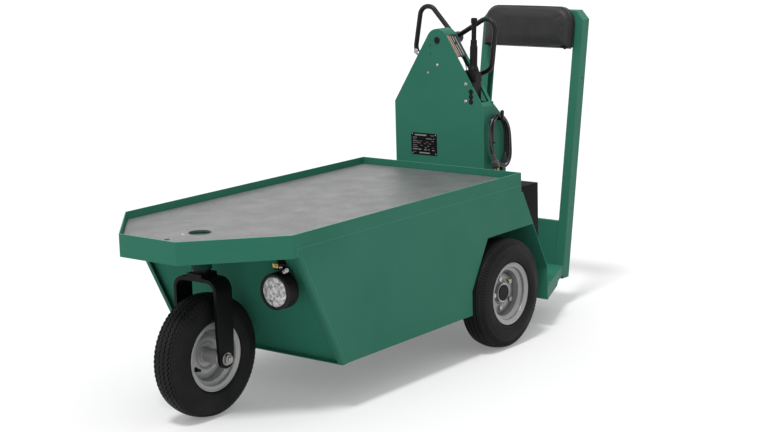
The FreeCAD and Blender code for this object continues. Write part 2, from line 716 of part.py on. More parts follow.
def rear_hub(side):
    """Hub flange, the pilot ring that centres the wheel, its cap, and the lug nuts."""
    y = y_of(REAR_AXLE_STATION)
    z = TYRE_RADIUS
    centre_x = rear_wheel_centre()
    face = centre_x + RIM_WIDTH / 2 - DISC_DEPTH
    back = face - 4 - SEAT_GAP
    inner = AXLE_TUBE_HALF + SEAT_GAP
    pilot_end = face + 14.0
    profile = [
        (inner, 0), (inner, 34), (back - 12, 34), (back - 12, 68), (back, 68),
        (back, REAR_PILOT_RADIUS), (pilot_end, REAR_PILOT_RADIUS), (pilot_end, HUB_CAP_RADIUS),
        (pilot_end + 2, HUB_CAP_RADIUS), (pilot_end + 3, HUB_CAP_RADIUS - 2), (pilot_end + 3, 0),
    ]
    hub = spun_x([(side * x, radius) for x, radius in profile], y, z)
    lug_seat = side * (face + 7 + SEAT_GAP)
    lug = axle_nut(lug_seat, y, z + LUG_CIRCLE_RADIUS, LUG_RADIUS, side * LUG_HEIGHT)
    return Part.makeCompound([hub] + ring_of(lug, LUG_COUNT, y, z, 18.0))


def rear_wheel_centre():
    return REAR_RIM_FACE - RIM_WIDTH / 2


# ---------------------------------------------------------------- tower
def tower_outline(inset, bottom):
    """The tower's front view: upright sides, two slopes and a round top."""
    half = TOWER_WIDTH / 2 - inset
    radius = TOWER_APEX_RADIUS - inset
    centre_z = TOWER_TOP - TOWER_APEX_RADIUS
    eave = (half, TOWER_EAVE - inset * 0.5)
    distance = math.hypot(eave[0], centre_z - eave[1])
    to_centre = math.atan2(centre_z - eave[1], -eave[0])
    tangent = to_centre - math.asin(radius / distance)
    touch = math.sqrt(distance ** 2 - radius ** 2)
    top = (eave[0] + touch * math.cos(tangent), eave[1] + touch * math.sin(tangent))
    return eave, top, (0, centre_z + radius), bottom


def tower_prism(inset, bottom, front, rear):
    eave, top, crown, low = tower_outline(inset, bottom)
    edges = [
        Part.LineSegment(vec(-eave[0], front, low), vec(eave[0], front, low)),
        Part.LineSegment(vec(eave[0], front, low), vec(eave[0], front, eave[1])),
        Part.LineSegment(vec(eave[0], front, eave[1]), vec(top[0], front, top[1])),
        Part.Arc(vec(top[0], front, top[1]), vec(0, front, crown[1]), vec(-top[0], front, top[1])),
        Part.LineSegment(vec(-top[0], front, top[1]), vec(-eave[0], front, eave[1])),
        Part.LineSegment(vec(-eave[0], front, eave[1]), vec(-eave[0], front, low)),
    ]
    face = Part.Face(Part.Wire([edge.toShape() for edge in edges]))
    return face.extrude(vec(0, rear - front, 0))


def tower_bottom():
    return COVER_TOP + SEAT_GAP


def tower_shell():
    """Welded tower: front plate, sides and sloping top strips in one, open at the back."""
    front = y_of(TOWER_FRONT_STATION)
    upper_rear = front + TOWER_UPPER_DEPTH - SHEET
    lower_rear = front + TOWER_LOWER_DEPTH - SHEET
    half = TOWER_WIDTH / 2
    bottom = tower_bottom()
    upper = tower_prism(0, bottom, front, upper_rear)
    hollow = tower_prism(SHEET, bottom - 1, front + SHEET, upper_rear + 1)
    shell = upper.cut(hollow)
    shoulder = [
        (upper_rear, bottom), (lower_rear, bottom), (lower_rear, shoulder_height(lower_rear)),
        (upper_rear, shoulder_height(upper_rear)),
    ]
    for side in (1, -1):
        wing = plate_yz(shoulder, side * (half - SHEET), side * SHEET)
        shell = shell.fuse(wing)
    slot_front = front + SHEET
    slot_rear = upper_rear + SHEET - TOWER_SLOT_RAIL
    slot = box(half * 0.3, half + 1, slot_front, slot_rear, TOWER_SLOT_BOTTOM, TOWER_SLOT_TOP)
    shell = shell.cut(slot)
    z = YOKE_AXIS_HEIGHT
    shell = shell.cut(rod((0, front - 1, z), (0, front + SHEET + 1, z), SHAFT_HOLE_RADIUS))
    return shell.cut(pivot_slot(front)).removeSplitter()


def pivot_slot(front):
    """Upright slot in the front plate beside the drive lever's box."""
    near = LEVER_X + 10.0
    far = near + 10.0
    low = TOWER_EAVE + 6.0
    high = low + 56.0
    corners = [(near, low), (far, low), (far, high), (near, high)]
    return plate_xz(corners, front, SHEET, [4.9] * 4)


def shoulder_height(y):
    """Height of the tower's rear shoulder at one Y."""
    start = y_of(TOWER_FRONT_STATION) + TOWER_UPPER_DEPTH - SHEET
    return TOWER_SHOULDER_TOP - (y - start) * TOWER_SHOULDER_SLOPE


def tower_back():
    """Rear of the tower: upper plate with a large window, sloping shoulder, lower plate."""
    front = y_of(TOWER_FRONT_STATION)
    upper_rear = front + TOWER_UPPER_DEPTH - SHEET + SEAT_GAP
    lower_rear = front + TOWER_LOWER_DEPTH - SHEET + SEAT_GAP
    half = TOWER_WIDTH / 2
    upper = tower_prism(0, TOWER_EAVE - 20, upper_rear, upper_rear + SHEET)
    upper = upper.cut(box(-half, half, upper_rear - 1, upper_rear + SHEET + 1, 0, TOWER_SHOULDER_TOP))
    window = tower_prism(BACK_WINDOW_MARGIN, TOWER_EAVE - 20, upper_rear - 1, upper_rear + SHEET + 1)
    opening = box(-half, half, upper_rear - 2, upper_rear + SHEET + 2, TOWER_SLOT_BOTTOM, TOWER_SLOT_TOP)
    upper = upper.cut(window.common(opening))
    line = [
        (lower_rear, tower_bottom()),
        (lower_rear, shoulder_height(lower_rear) + SEAT_GAP * 2),
        (upper_rear, TOWER_SHOULDER_TOP + SEAT_GAP * 2),
        (upper_rear, TOWER_SLOT_BOTTOM),
    ]
    lower = bent_sheet_yz(line, -SHEET, -half, half)
    z = YOKE_AXIS_HEIGHT
    bore = rod((0, upper_rear - 1, z), (0, upper_rear + 9, z), SHAFT_RADIUS + SEAT_GAP)
    return upper.fuse(lower).cut(bore).removeSplitter()


def shaft_bushing():
    """Black end plug of the steering shaft's front bearing, set in the tower's front plate."""
    front = y_of(TOWER_FRONT_STATION)
    z = YOKE_AXIS_HEIGHT
    boss = rod((0, front + SHEET + SEAT_GAP, z), (0, front + SHEET + 20, z), 2 * SHAFT_HOLE_RADIUS)
    neck = rod((0, front - 1.5, z), (0, front + SHEET + SEAT_GAP, z), SHAFT_HOLE_RADIUS - SEAT_GAP)
    bore = rod((0, front + SHEET + 4, z), (0, front + SHEET + 21, z), SHAFT_RADIUS + SEAT_GAP)
    return boss.fuse(neck).cut(bore).removeSplitter()


def lever_housing():
    """Control box of the drive lever, bolted behind the front plate and standing out of the slot."""
    front = y_of(TOWER_FRONT_STATION) + SHEET + SEAT_GAP
    rear = front + LEVER_BOX_DEPTH
    near = LEVER_X - LEVER_BOX_WIDTH / 2
    far = LEVER_X + LEVER_BOX_WIDTH / 2
    low = TOWER_EAVE - 6.0
    high = low + LEVER_BOX_HEIGHT
    ear_top = high + 34.0
    y = y_of(LEVER_STATION)
    box_body = box(near, far, front, rear, low, high)
    ears = box(near, near + LEVER_EAR, front + 12, rear, high, ear_top)
    ears = ears.fuse(box(far - LEVER_EAR, far, front + 12, rear, high, ear_top))
    pivot_bore = rod((near - 1, y, high + 22), (far + 1, y, high + 22), 4.0)
    return box_body.fuse(ears).cut(pivot_bore).removeSplitter()


def drive_lever():
    """Forward and reverse lever: round shank, stepped rubber sleeve and a flat-topped knob."""
    y = y_of(LEVER_STATION)
    pivot_z = TOWER_EAVE - 6.0 + LEVER_BOX_HEIGHT + 22.0
    half_pivot = LEVER_BOX_WIDTH / 2 - 0.5
    collar_top = LEVER_TOP - 83.0
    sleeve_top = LEVER_TOP - 105.0

    def at_height(z):
        return vec(LEVER_X, y, z)

    shank = rod(at_height(pivot_z - 14), at_height(LEVER_TOP - 10), LEVER_RADIUS)
    collar = rod(at_height(sleeve_top), at_height(collar_top), LEVER_RADIUS + 3.0)
    sleeve_foot = pivot_z - 8
    sleeve_length = sleeve_top - sleeve_foot
    sleeve = Part.makeCone(13.0, LEVER_RADIUS + 5.0, sleeve_length, at_height(sleeve_foot), vec(0, 0, 1))
    knob = rod(at_height(LEVER_TOP - 16), at_height(LEVER_TOP), LEVER_CAP_RADIUS)
    pivot = rod((LEVER_X - half_pivot, y, pivot_z), (LEVER_X + half_pivot, y, pivot_z), 3.7)
    lever = shank.fuse([collar, sleeve, knob, pivot]).removeSplitter()
    lever.rotate(at_height(pivot_z), vec(1, 0, 0), LEVER_TILT)
    return lever


def key_switch():
    """Key switch on the tower's right-hand slope."""
    eave, top, crown, low = tower_outline(0, 0)
    slope = math.atan2(top[1] - eave[1], top[0] - eave[0])
    share = 0.68
    x = -(eave[0] + (top[0] - eave[0]) * share)
    z = eave[1] + (top[1] - eave[1]) * share
    out = vec(-math.sin(slope), 0, -math.cos(slope)) * -1
    if out.x > 0:
        out = out * -1
    y = y_of(TOWER_FRONT_STATION) + 26
    base = vec(x, y, z) + out * SEAT_GAP
    collar = Part.makeCylinder(10, 6, base, out)
    barrel = Part.makeCylinder(7, 16, base, out)
    return collar.fuse(barrel).removeSplitter()


# ---------------------------------------------------------------- steering yoke
def yoke():
    """Butterfly handlebar: two closed loops of round tube welded to a hub, level before turning."""
    y = y_of(YOKE_STATION)
    z = YOKE_AXIS_HEIGHT
    hub = rod((0, y - YOKE_HUB_LENGTH / 2, z), (0, y + YOKE_HUB_LENGTH / 2, z), YOKE_HUB_RADIUS)
    pieces = []
    for side in (1, -1):
        points = [
            vec(side * 8, y, z + 6),
            vec(side * (YOKE_HALF_WIDTH - 59), y, z + YOKE_UPPER_REACH),
            vec(side * (YOKE_HALF_WIDTH - 5), y, z + YOKE_UPPER_REACH),
            vec(side * YOKE_HALF_WIDTH, y, z - YOKE_GRIP_DROP),
            vec(side * (YOKE_HALF_WIDTH - 70), y, z - YOKE_LOWER_REACH),
            vec(side * 8, y, z - 18),
        ]
        bends = [0, YOKE_BEND * 0.8, YOKE_BEND, YOKE_BEND, YOKE_BEND * 0.7, 0]
        pieces.append(bent_rod(points, bends, YOKE_TUBE_RADIUS))
    handle = hub.fuse(pieces).removeSplitter()
    handle.rotate(vec(0, y, z), vec(0, 1, 0), YOKE_REST_TURN)
    return handle


def steering_shaft():
    front = y_of(TOWER_FRONT_STATION) + SHEET + 5
    rear = y_of(YOKE_STATION) - YOKE_HUB_LENGTH / 2 - SEAT_GAP
    z = YOKE_AXIS_HEIGHT
    return rod((0, front, z), (0, rear, z), SHAFT_RADIUS)


# ---------------------------------------------------------------- platform and backrest
def leaning_line(height, behind=0.0):
    """Y of the posts' slanted front face at one height, or of a face some way behind it."""
    return y_of(POST_STATION) + (height - PLATFORM_TOP) * math.tan(LEAN) + behind


def leaning_slab(outline, behind, depth):
    """An outline drawn in the slanted plane of the posts and pushed level to the rear."""
    points = [(x, leaning_line(z, behind), z) for x, z in outline]
    return slab(points, [0] * len(points), (0, depth, 0))


def frame_outline(inset, foot):
    half = FRAME_HALF_WIDTH - inset
    top = FRAME_TOP - inset
    cut = FRAME_CHAMFER - inset * (2 - math.sqrt(2))
    return mirrored([(half, foot), (half, top - cut), (half - cut, top)])


def backrest_frame():
    """Folded channel bent to an upside-down U, with chamfered top corners and open inner side."""
    outer = leaning_slab(frame_outline(0, FRAME_FOOT), 0, FRAME_DEPTH)
    hollow_depth = FRAME_DEPTH - 2 * FRAME_METAL
    hollow = leaning_slab(frame_outline(FRAME_METAL, FRAME_FOOT - 1), FRAME_METAL, hollow_depth)
    window = leaning_slab(frame_outline(FRAME_FLANGE, FRAME_FOOT - 2), -1, FRAME_DEPTH + 2)
    return outer.cut(hollow).cut(window)


def kick_panel():
    """Sheet between the posts behind the operator's heels, its top edge folded back."""
    clear = FRAME_METAL + 2 * SEAT_GAP
    half = FRAME_HALF_WIDTH - FRAME_METAL - SEAT_GAP
    fold_y = leaning_line(KICK_PANEL_TOP, clear)
    foot_y = leaning_line(FRAME_FOOT, clear)
    line = [(foot_y, FRAME_FOOT), (fold_y, KICK_PANEL_TOP), (fold_y + 15.0, KICK_PANEL_TOP)]
    sheet = bent_sheet_yz(line, -SHEET, -half, half)
    return sheet.common(box(-half, half, -9999, 9999, FRAME_FOOT, 9999))


def step_platform():
    """Low platform: chequer-free floor sheet with skirts folded down along its tapering sides."""
    front = y_of(PLATFORM_STATION) + SEAT_GAP
    rear = y_of(POST_STATION) - 0.8
    wide = BODY_HALF
    narrow = FRAME_HALF_WIDTH + SHEET
    taper_end = rear - 18.0
    plan = mirrored([(wide, front), (narrow, taper_end), (narrow, rear)])
    floor = plate_xy(plan, PLATFORM_TOP - SHEET, SHEET)
    skirt_block = plate_xy(plan, PLATFORM_SKIRT_BOTTOM, PLATFORM_TOP - PLATFORM_SKIRT_BOTTOM)
    inner_plan = mirrored([(wide - SHEET * 1.1, front - 1), (narrow - SHEET, taper_end),
                           (narrow - SHEET, rear + 1)])
    skirts = skirt_block.cut(plate_xy(inner_plan, PLATFORM_SKIRT_BOTTOM - 1, 200))
    relief_start = taper_end - 110.0
    relief = [
        (relief_start, PLATFORM_SKIRT_BOTTOM - 1), (relief_start + 28, PLATFORM_SKIRT_BOTTOM + 13),
        (rear + 1, PLATFORM_SKIRT_BOTTOM + 13), (rear + 1, PLATFORM_SKIRT_BOTTOM - 1),
    ]
    skirts = skirts.cut(plate_yz(relief, -wide, 2 * wide))
    return floor.fuse(skirts).removeSplitter()


def backrest_pad():
    """Padded rest in front of the frame's top, its upper corners round."""
    half = PAD_HALF_WIDTH
    low = PLATFORM_TOP + (PAD_BOTTOM - PLATFORM_TOP) / math.cos(LEAN)
    high = low + PAD_HEIGHT
    rear = y_of(POST_STATION) - SEAT_GAP
    outline = [(half, low), (half, high), (-half, high), (-half, low)]
    radii = [PAD_LOWER_CORNER, PAD_CORNER, PAD_CORNER, PAD_LOWER_CORNER]
    pad = plate_xz(outline, rear - PAD_THICKNESS, PAD_THICKNESS, radii)
    pad.rotate(vec(0, y_of(POST_STATION), PLATFORM_TOP), vec(1, 0, 0), -FRAME_LEAN)
    return pad


def foot_pedals():
    """Two treadle plates hinged low on the bulkhead: brake on the left, drive on the right."""
    front = y_of(PLATFORM_STATION) + SEAT_GAP
    hinge = PLATFORM_TOP + PEDAL_HINGE
    tread = front + PEDAL_ARM
    line = [(front, hinge), (tread, hinge), (tread + PEDAL_TREAD, hinge + PEDAL_RISE)]
    half = PEDAL_WIDTH / 2
    pedals = [bent_sheet_yz(line, PEDAL_METAL, x - half, x + half) for x in (PEDAL_X, -PEDAL_X)]
    return Part.makeCompound(pedals)


# ---------------------------------------------------------------- headlamp
def lamp_stud_y():
    return y_of(LAMP_STATION) + LAMP_STUD_BACK


def headlamp_housing():
    """Round rubber-black lamp can, open at the front, hung by a stud on its top."""
    front = y_of(LAMP_STATION)
    x = LAMP_X
    z = LAMP_HEIGHT
    seat = LAMP_LENS_RADIUS + SEAT_GAP
    profile = [
        (front, seat), (front, LAMP_RADIUS), (front + 50, LAMP_RADIUS), (front + 58, LAMP_RADIUS - 9),
        (front + LAMP_DEPTH, 28), (front + LAMP_DEPTH, 0), (front + LAMP_DEPTH - 5, 0),
        (front + LAMP_DEPTH - 5, 25), (front + 48, LAMP_LENS_RADIUS - 4),
        (front + 8, LAMP_LENS_RADIUS - 4), (front + 8, seat),
    ]
    wire = Part.makePolygon([vec(x, y, z + r) for y, r in profile + profile[:1]])
    can = Part.Face(wire).revolve(vec(x, front, z), vec(0, 1, 0), 360)
    y = lamp_stud_y()
    top = z + LAMP_RADIUS
    neck = rod((x, y, top - 4), (x, y, top + 8), 11.0)
    stud = rod((x, y, top), (x, y, top + LAMP_STUD_REACH), 5.0)
    return can.fuse([neck, stud]).removeSplitter()


def headlamp_lens():
    front = y_of(LAMP_STATION) + 2
    rear = front + 6 - SEAT_GAP
    return rod((LAMP_X, front, LAMP_HEIGHT), (LAMP_X, rear, LAMP_HEIGHT), LAMP_LENS_RADIUS)


def headlamp_bracket():
    """Angle bracket on the slanted nose panel that the lamp's stud is bolted through."""
    y = lamp_stud_y()
    tab = LAMP_HEIGHT + LAMP_RADIUS + 8 + SEAT_GAP
    top = tab + 42.0
    clear = 2 * SEAT_GAP

    def panel_y(height):
        return y_of(nose_station(height, NOSE_PANEL_RECESS)) - clear

    line = [(y - 15, tab), (panel_y(tab), tab), (panel_y(top), top)]
    strap = bent_sheet_yz(line, 4.0, LAMP_X - 16, LAMP_X + 16)
    return strap.cut(rod((LAMP_X, y, tab - 1), (LAMP_X, y, tab + 5), 5.0 + SEAT_GAP))


# ---------------------------------------------------------------- running gear and masses
def rear_axle():
    """Axle tube with the differential bowl in its middle."""
    y = y_of(REAR_AXLE_STATION)
    z = TYRE_RADIUS
    axle = rod((-AXLE_TUBE_HALF, y, z), (AXLE_TUBE_HALF, y, z), AXLE_TUBE_RADIUS)
    half_bowl = [(AXLE_BOWL_HALF, 0), (AXLE_BOWL_HALF, AXLE_BOWL_NECK), (AXLE_BOWL_FLAT, AXLE_BOWL_RADIUS)]
    bowl = spun_x(mirrored(half_bowl), y, z)
    return axle.fuse(bowl).removeSplitter()


def drive_motor():
    """Traction motor ahead of the axle, as one plain mass."""
    y = y_of(MOTOR_FRONT_STATION)
    z = TYRE_RADIUS + MOTOR_LIFT
    return rod((0, y, z), (0, y + MOTOR_LENGTH, z), MOTOR_RADIUS)


def axle_hangers():
    """Two plates that hang the axle tube from the underside of the deck."""
    y = y_of(REAR_AXLE_STATION)
    plates = []
    for side in (1, -1):
        outline = [
            (y - HANGER_FRONT, DECK_UNDERSIDE), (y - HANGER_FOOT, TYRE_RADIUS - HANGER_FOOT),
            (y + HANGER_FOOT, TYRE_RADIUS - HANGER_FOOT), (y + HANGER_REAR, DECK_UNDERSIDE - HANGER_WAIST),
            (y + HANGER_REAR, DECK_UNDERSIDE),
        ]
        x = side * (AXLE_TUBE_HALF - HANGER_INSET)
        hanger = plate_yz(outline, x, side * HANGER_METAL)
        bore = rod((x - 20, y, TYRE_RADIUS), (x + 20, y, TYRE_RADIUS), AXLE_TUBE_RADIUS + SEAT_GAP)
        plates.append(hanger.cut(bore))
    return Part.makeCompound(plates)


def battery_block():
    front = y_of(BATTERY_STATION)
    floor = BODY_BOTTOM + SHEET + SEAT_GAP
    half = BATTERY_WIDTH / 2
    return box(-half, half, front, front + BATTERY_LENGTH, floor, floor + BATTERY_HEIGHT)


# ---------------------------------------------------------------- charging lead
def coil_point(dx, dy, dz):
    """A point given from the middle of the coil: outwards, backwards and up."""
    return vec(COIL_NEAR + COIL_DEPTH / 2 + dx, y_of(COIL_STATION) + dy, COIL_HEIGHT + dz)


def cord_coil():
    """The wound part of the charging lead, as one closed oval ring."""
    centre = coil_point(-COIL_DEPTH / 2, 0, 0)
    rings = []
    for inset in (0.0, COIL_BAND):
        top = centre + vec(0, 0, COIL_HALF_LENGTH - inset)
        side = centre + vec(0, COIL_HALF_WIDTH - inset, 0)
        rings.append(Part.Face(Part.Wire(Part.Ellipse(top, side, centre).toShape())))
    return rings[0].cut(rings[1]).extrude(vec(COIL_DEPTH, 0, 0))


def cord_tube(name, points):
    """A stretch of the lead: straight runs joined by arcs as large as the runs allow."""
    radii = [0.0]
    for before, corner, after in zip(points, points[1:], points[2:]):
        shorter = min(before.distanceToPoint(corner), corner.distanceToPoint(after))
        turn = corner.sub(before).getAngle(after.sub(corner))
        radii.append(0.45 * shorter / math.tan(turn / 2))
    print(name, "bend radii", [round(radius, 1) for radius in radii[1:]])
    return bent_rod(points, radii + [0.0], CORD_DIAMETER / 2)


def cord_lead_tower():
    """The lead's first stretch, from the gland up into the coil."""
    points = [coil_point(*p) for p in ((-2.5, 14, -128), (-2.5, 13, -115), (-2.5, 8, -99))]
    return cord_tube("cord_lead_tower", points).cut(cord_coil())


def cord_lead_plug():
    """The lead's last stretch, out of the coil's front bundle and down to the plug."""
    route = ((24.5, -85, -43), (24.5, -92.5, -27.5), (23.5, -93.5, -5.5), (15.5, -80, 18), (0.5, -51, 36))
    points = [coil_point(*p) for p in route]
    return cord_tube("cord_lead_plug", points).cut(cord_coil())


def cord_hook():
    """Bent rod hook on the tower's left side, its tip turned up and sleeved in rubber."""
    start = -COIL_DEPTH / 2 - COIL_STAND_OFF + SEAT_GAP
    tip = COIL_DEPTH / 2 + 8.0
    across = COIL_HALF_WIDTH - COIL_BAND
    along = COIL_HALF_LENGTH - COIL_BAND
    touch = along * math.sqrt(1 - (HOOK_AHEAD / across) ** 2)
    inwards = vec(0, HOOK_AHEAD / across ** 2, -touch / along ** 2).normalize()
    middle = vec(0, -HOOK_AHEAD, touch) + inwards * (HOOK_RADIUS + SEAT_GAP)
    dy = middle.y
    dz = middle.z
    path = [coil_point(start, dy, dz), coil_point(tip, dy, dz), coil_point(tip, dy, dz + HOOK_RISE)]
    arm = bent_rod(path, [0, 9, 0], HOOK_RADIUS)
    foot = rod(coil_point(start, dy, dz), coil_point(start + 3, dy, dz), 12.0)
    return arm.fuse(foot).removeSplitter()


def cord_gland():
    """Right-angle cable gland where the charging lead leaves the tower's left side."""
    start = -COIL_DEPTH / 2 - COIL_STAND_OFF + SEAT_GAP
    bend = coil_point(-2.5, 14, -142)
    nut = rod(coil_point(start, 14, -142), coil_point(start + 8, 14, -142), 11.0)
    arm = rod(coil_point(start, 14, -142), bend, 7.5)
    knuckle = Part.makeSphere(7.5, bend)
    neck = Part.makeCone(7.5, CORD_DIAMETER / 2 + 1.5, 14.0, bend, vec(0, 0, 1))
    return nut.fuse([arm, knuckle, neck]).removeSplitter()


def charger_plug():
    """Moulded grounded plug at the lead's end: slim neck, round body, two blades and a pin."""
    top = coil_point(24.5, -85, -43)
    profile = [
        (0, 0), (6.3, 0), (7.5, -14), (10.5, -26), (PLUG_RADIUS, -36), (PLUG_RADIUS, 2 - PLUG_LENGTH),
        (PLUG_RADIUS - 2, -PLUG_LENGTH), (0, -PLUG_LENGTH),
    ]
    wire = Part.makePolygon([top + vec(x, 0, z) for x, z in profile + profile[:1]])
    plug = Part.Face(wire).revolve(top, vec(0, 0, 1), 360)
    low = top.z - PLUG_LENGTH - BLADE_LENGTH
    high = top.z - PLUG_LENGTH + 1
    pieces = []
    for side in (1, -1):
        x = top.x + side * BLADE_SPACING / 2
        pieces.append(box(x - 0.8, x + 0.8, top.y - 8.0, top.y - 1.7, low, high))
    pieces.append(rod((top.x, top.y + 7.0, high), (top.x, top.y + 7.0, low - 3), 2.4))
    plug = plug.fuse(pieces).removeSplitter()
    plug.rotate(top, vec(1, 0, 0), PLUG_TILT)
    return plug


# ---------------------------------------------------------------- write every piece
def main():
    save("deck_rim", deck_rim())
    save("deck_floor", deck_floor())
    save("deck_mat", deck_mat())
    save("side_panel_left", side_panel(1))
    save("side_panel_right", side_panel(-1))
    save("nose_panel", nose_panel())
    save("bottom_pan", bottom_pan())
    save("rear_bulkhead", rear_bulkhead())
    save("deck_crossmembers", deck_crossmembers())
    save("drive_cover", drive_cover())
    save("steering_head", steering_head())
    save("fork", fork())
    save("kingpin", kingpin())
    save("fork_axle", fork_axle())
    save("front_tyre", tyre(0, STEER_STATION))
    save("front_rim", rim(0, STEER_STATION, 1, FRONT_PILOT_RADIUS, 0.0))
    save("front_hub", front_hub())
    for name, side in (("left", 1), ("right", -1)):
        centre = side * rear_wheel_centre()
        save("rear_tyre_" + name, tyre(centre, REAR_AXLE_STATION))
        save("rear_rim_" + name, rim(centre, REAR_AXLE_STATION, side, REAR_PILOT_RADIUS, -32.0))
        save("rear_hub_" + name, rear_hub(side))
    save("tower_shell", tower_shell())
    save("tower_back", tower_back())
    save("shaft_bushing", shaft_bushing())
    save("lever_housing", lever_housing())
    save("drive_lever", drive_lever())
    save("key_switch", key_switch())
    save("yoke", yoke())
    save("steering_shaft", steering_shaft())
    save("step_platform", step_platform())
    save("kick_panel", kick_panel())
    save("backrest_frame", backrest_frame())
    save("backrest_pad", backrest_pad())
    save("foot_pedals", foot_pedals())
    save("headlamp_housing", headlamp_housing())
    save("headlamp_lens", headlamp_lens())
    save("headlamp_bracket", headlamp_bracket())
    save("rear_axle", rear_axle())
    save("drive_motor", drive_motor())
    save("axle_hangers", axle_hangers())
    save("battery_block", battery_block())
    save("cord_coil", cord_coil())
    save("cord_lead_tower", cord_lead_tower())
    save("cord_lead_plug", cord_lead_plug())
    save("cord_hook", cord_hook())
    save("cord_gland", cord_gland())
    save("charger_plug", charger_plug())


main()
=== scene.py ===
"""The look of an electric burden carrier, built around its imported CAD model."""
import bmesh
import bpy
import math
from mathutils import Matrix, Vector
from mathutils.bvhtree import BVHTree
from mathutils.geometry import convex_hull_2d


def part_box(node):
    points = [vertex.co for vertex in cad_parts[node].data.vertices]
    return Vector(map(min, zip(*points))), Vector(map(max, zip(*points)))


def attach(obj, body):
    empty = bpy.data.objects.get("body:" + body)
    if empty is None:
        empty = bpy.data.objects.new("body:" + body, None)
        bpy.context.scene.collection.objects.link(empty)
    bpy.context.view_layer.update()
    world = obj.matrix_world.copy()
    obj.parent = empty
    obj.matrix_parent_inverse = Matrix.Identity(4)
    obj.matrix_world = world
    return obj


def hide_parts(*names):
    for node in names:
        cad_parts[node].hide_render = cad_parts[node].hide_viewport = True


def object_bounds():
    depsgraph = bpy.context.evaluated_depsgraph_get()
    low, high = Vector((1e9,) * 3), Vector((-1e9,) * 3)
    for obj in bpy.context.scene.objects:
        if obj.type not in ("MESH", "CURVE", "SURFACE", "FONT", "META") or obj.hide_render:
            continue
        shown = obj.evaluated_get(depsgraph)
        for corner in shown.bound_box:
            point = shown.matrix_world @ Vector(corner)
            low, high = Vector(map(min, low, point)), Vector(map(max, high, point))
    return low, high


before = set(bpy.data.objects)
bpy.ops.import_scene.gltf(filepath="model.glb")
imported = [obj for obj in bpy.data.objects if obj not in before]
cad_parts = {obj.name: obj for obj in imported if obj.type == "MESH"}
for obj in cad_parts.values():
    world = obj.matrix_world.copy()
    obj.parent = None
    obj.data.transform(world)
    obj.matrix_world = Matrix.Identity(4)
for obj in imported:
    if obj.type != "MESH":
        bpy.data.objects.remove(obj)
cad_low, cad_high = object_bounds()

# ------------------------------------------------------------------ studio
# A plain pale floor under one broad lamp and an even white room, seen from ahead of the
# truck's left front corner. The floor keeps the truck's soft shadow.
scene = bpy.context.scene
scene.view_settings.view_transform = "Standard"
LAMP_FROM = Vector((0.10, -0.40, 0.91))
LAMP_STRENGTH = 1.9
LAMP_SOFTNESS = math.radians(11.0)
ROOM_LIGHT = 0.85
FLOOR_GLOW = 0.20
EYE = Vector((3.7333, -4.6848, 1.7129))
LOOKED_AT = Vector((-0.0742, 0.1609, 0.4754))
LENS = 78.36
CAMERA_ROLL = math.radians(-1.558)


def grey(level):
    """A neutral colour, from 0 for black to 1 for white."""
    return level, level, level, 1


def put(tree, kind, settings=None, inputs=(), **named):
    """Adds one shader node; each input is a value or the output that feeds it."""
    node = tree.nodes.new("ShaderNode" + kind)
    for key, value in (settings or {}).items():
        setattr(node, key, value)
    for key, value in list(enumerate(inputs)) + list(named.items()):
        socket = node.inputs[key.replace("_", " ") if isinstance(key, str) else key]
        if isinstance(value, bpy.types.NodeSocket):
            tree.links.new(value, socket)
        else:
            socket.default_value = value
    return node


def seen_directly(tree):
    """1 for camera, mirror and glass rays, 0 for the rays that carry soft light."""
    path = put(tree, "LightPath")
    first = put(tree, "Math", {"operation": "MAXIMUM"},
                [path.outputs["Is Camera Ray"], path.outputs["Is Glossy Ray"]])
    both = put(tree, "Math", {"operation": "MAXIMUM"},
               [first.outputs[0], path.outputs["Is Transmission Ray"]])
    return both.outputs[0]


def mix_colour(tree, factor, first, second):
    """Blends two colours; each is a value or the output that feeds it."""
    node = put(tree, "Mix", {"data_type": "RGBA"}, Factor=factor)
    for index, value in ((6, first), (7, second)):
        if isinstance(value, bpy.types.NodeSocket):
            tree.links.new(value, node.inputs[index])
        else:
            node.inputs[index].default_value = value
    return node.outputs[2]


def product(tree, first, second):
    """Multiplies two values; each is a number or the output that feeds it."""
    return put(tree, "Math", {"operation": "MULTIPLY"}, [first, second]).outputs[0]


room = bpy.data.worlds.new("room")
room.use_nodes = True
room.node_tree.nodes.clear()
soft = put(room.node_tree, "Background", Color=grey(1), Strength=ROOM_LIGHT)
white = put(room.node_tree, "Background", Color=grey(1), Strength=1.0)
blend = put(room.node_tree, "MixShader",
            inputs=[seen_directly(room.node_tree), soft.outputs[0], white.outputs[0]])
put(room.node_tree, "OutputWorld", Surface=blend.outputs[0])
scene.world = room

floor_mesh = bpy.data.meshes.new("floor")
FLOOR_HALF = 90.0
floor_corners = [(x * FLOOR_HALF, y * FLOOR_HALF, cad_low.z) for x,
                 y in ((-1, -1), (1, -1), (1, 1), (-1, 1))]
floor_mesh.from_pydata(floor_corners, [], [(0, 1, 2, 3)])
floor = bpy.data.objects.new("floor", floor_mesh)
scene.collection.objects.link(floor)
floor_paint = bpy.data.materials.new("floor_paint")
floor_paint.use_nodes = True
floor_tree = floor_paint.node_tree
floor_tree.nodes.clear()
floor_colour = mix_colour(floor_tree, seen_directly(floor_tree), grey(0.50), grey(0.80))
floor_matt = put(floor_tree, "BsdfDiffuse", Color=floor_colour)
floor_glow = put(floor_tree, "Emission", Color=grey(1), Strength=1.0)
glow_share = product(floor_tree, seen_directly(floor_tree), FLOOR_GLOW)
floor_shader = put(floor_tree, "MixShader",
                   inputs=[glow_share, floor_matt.outputs[0], floor_glow.outputs[0]])
put(floor_tree, "OutputMaterial", Surface=floor_shader.outputs[0])
floor_mesh.materials.append(floor_paint)

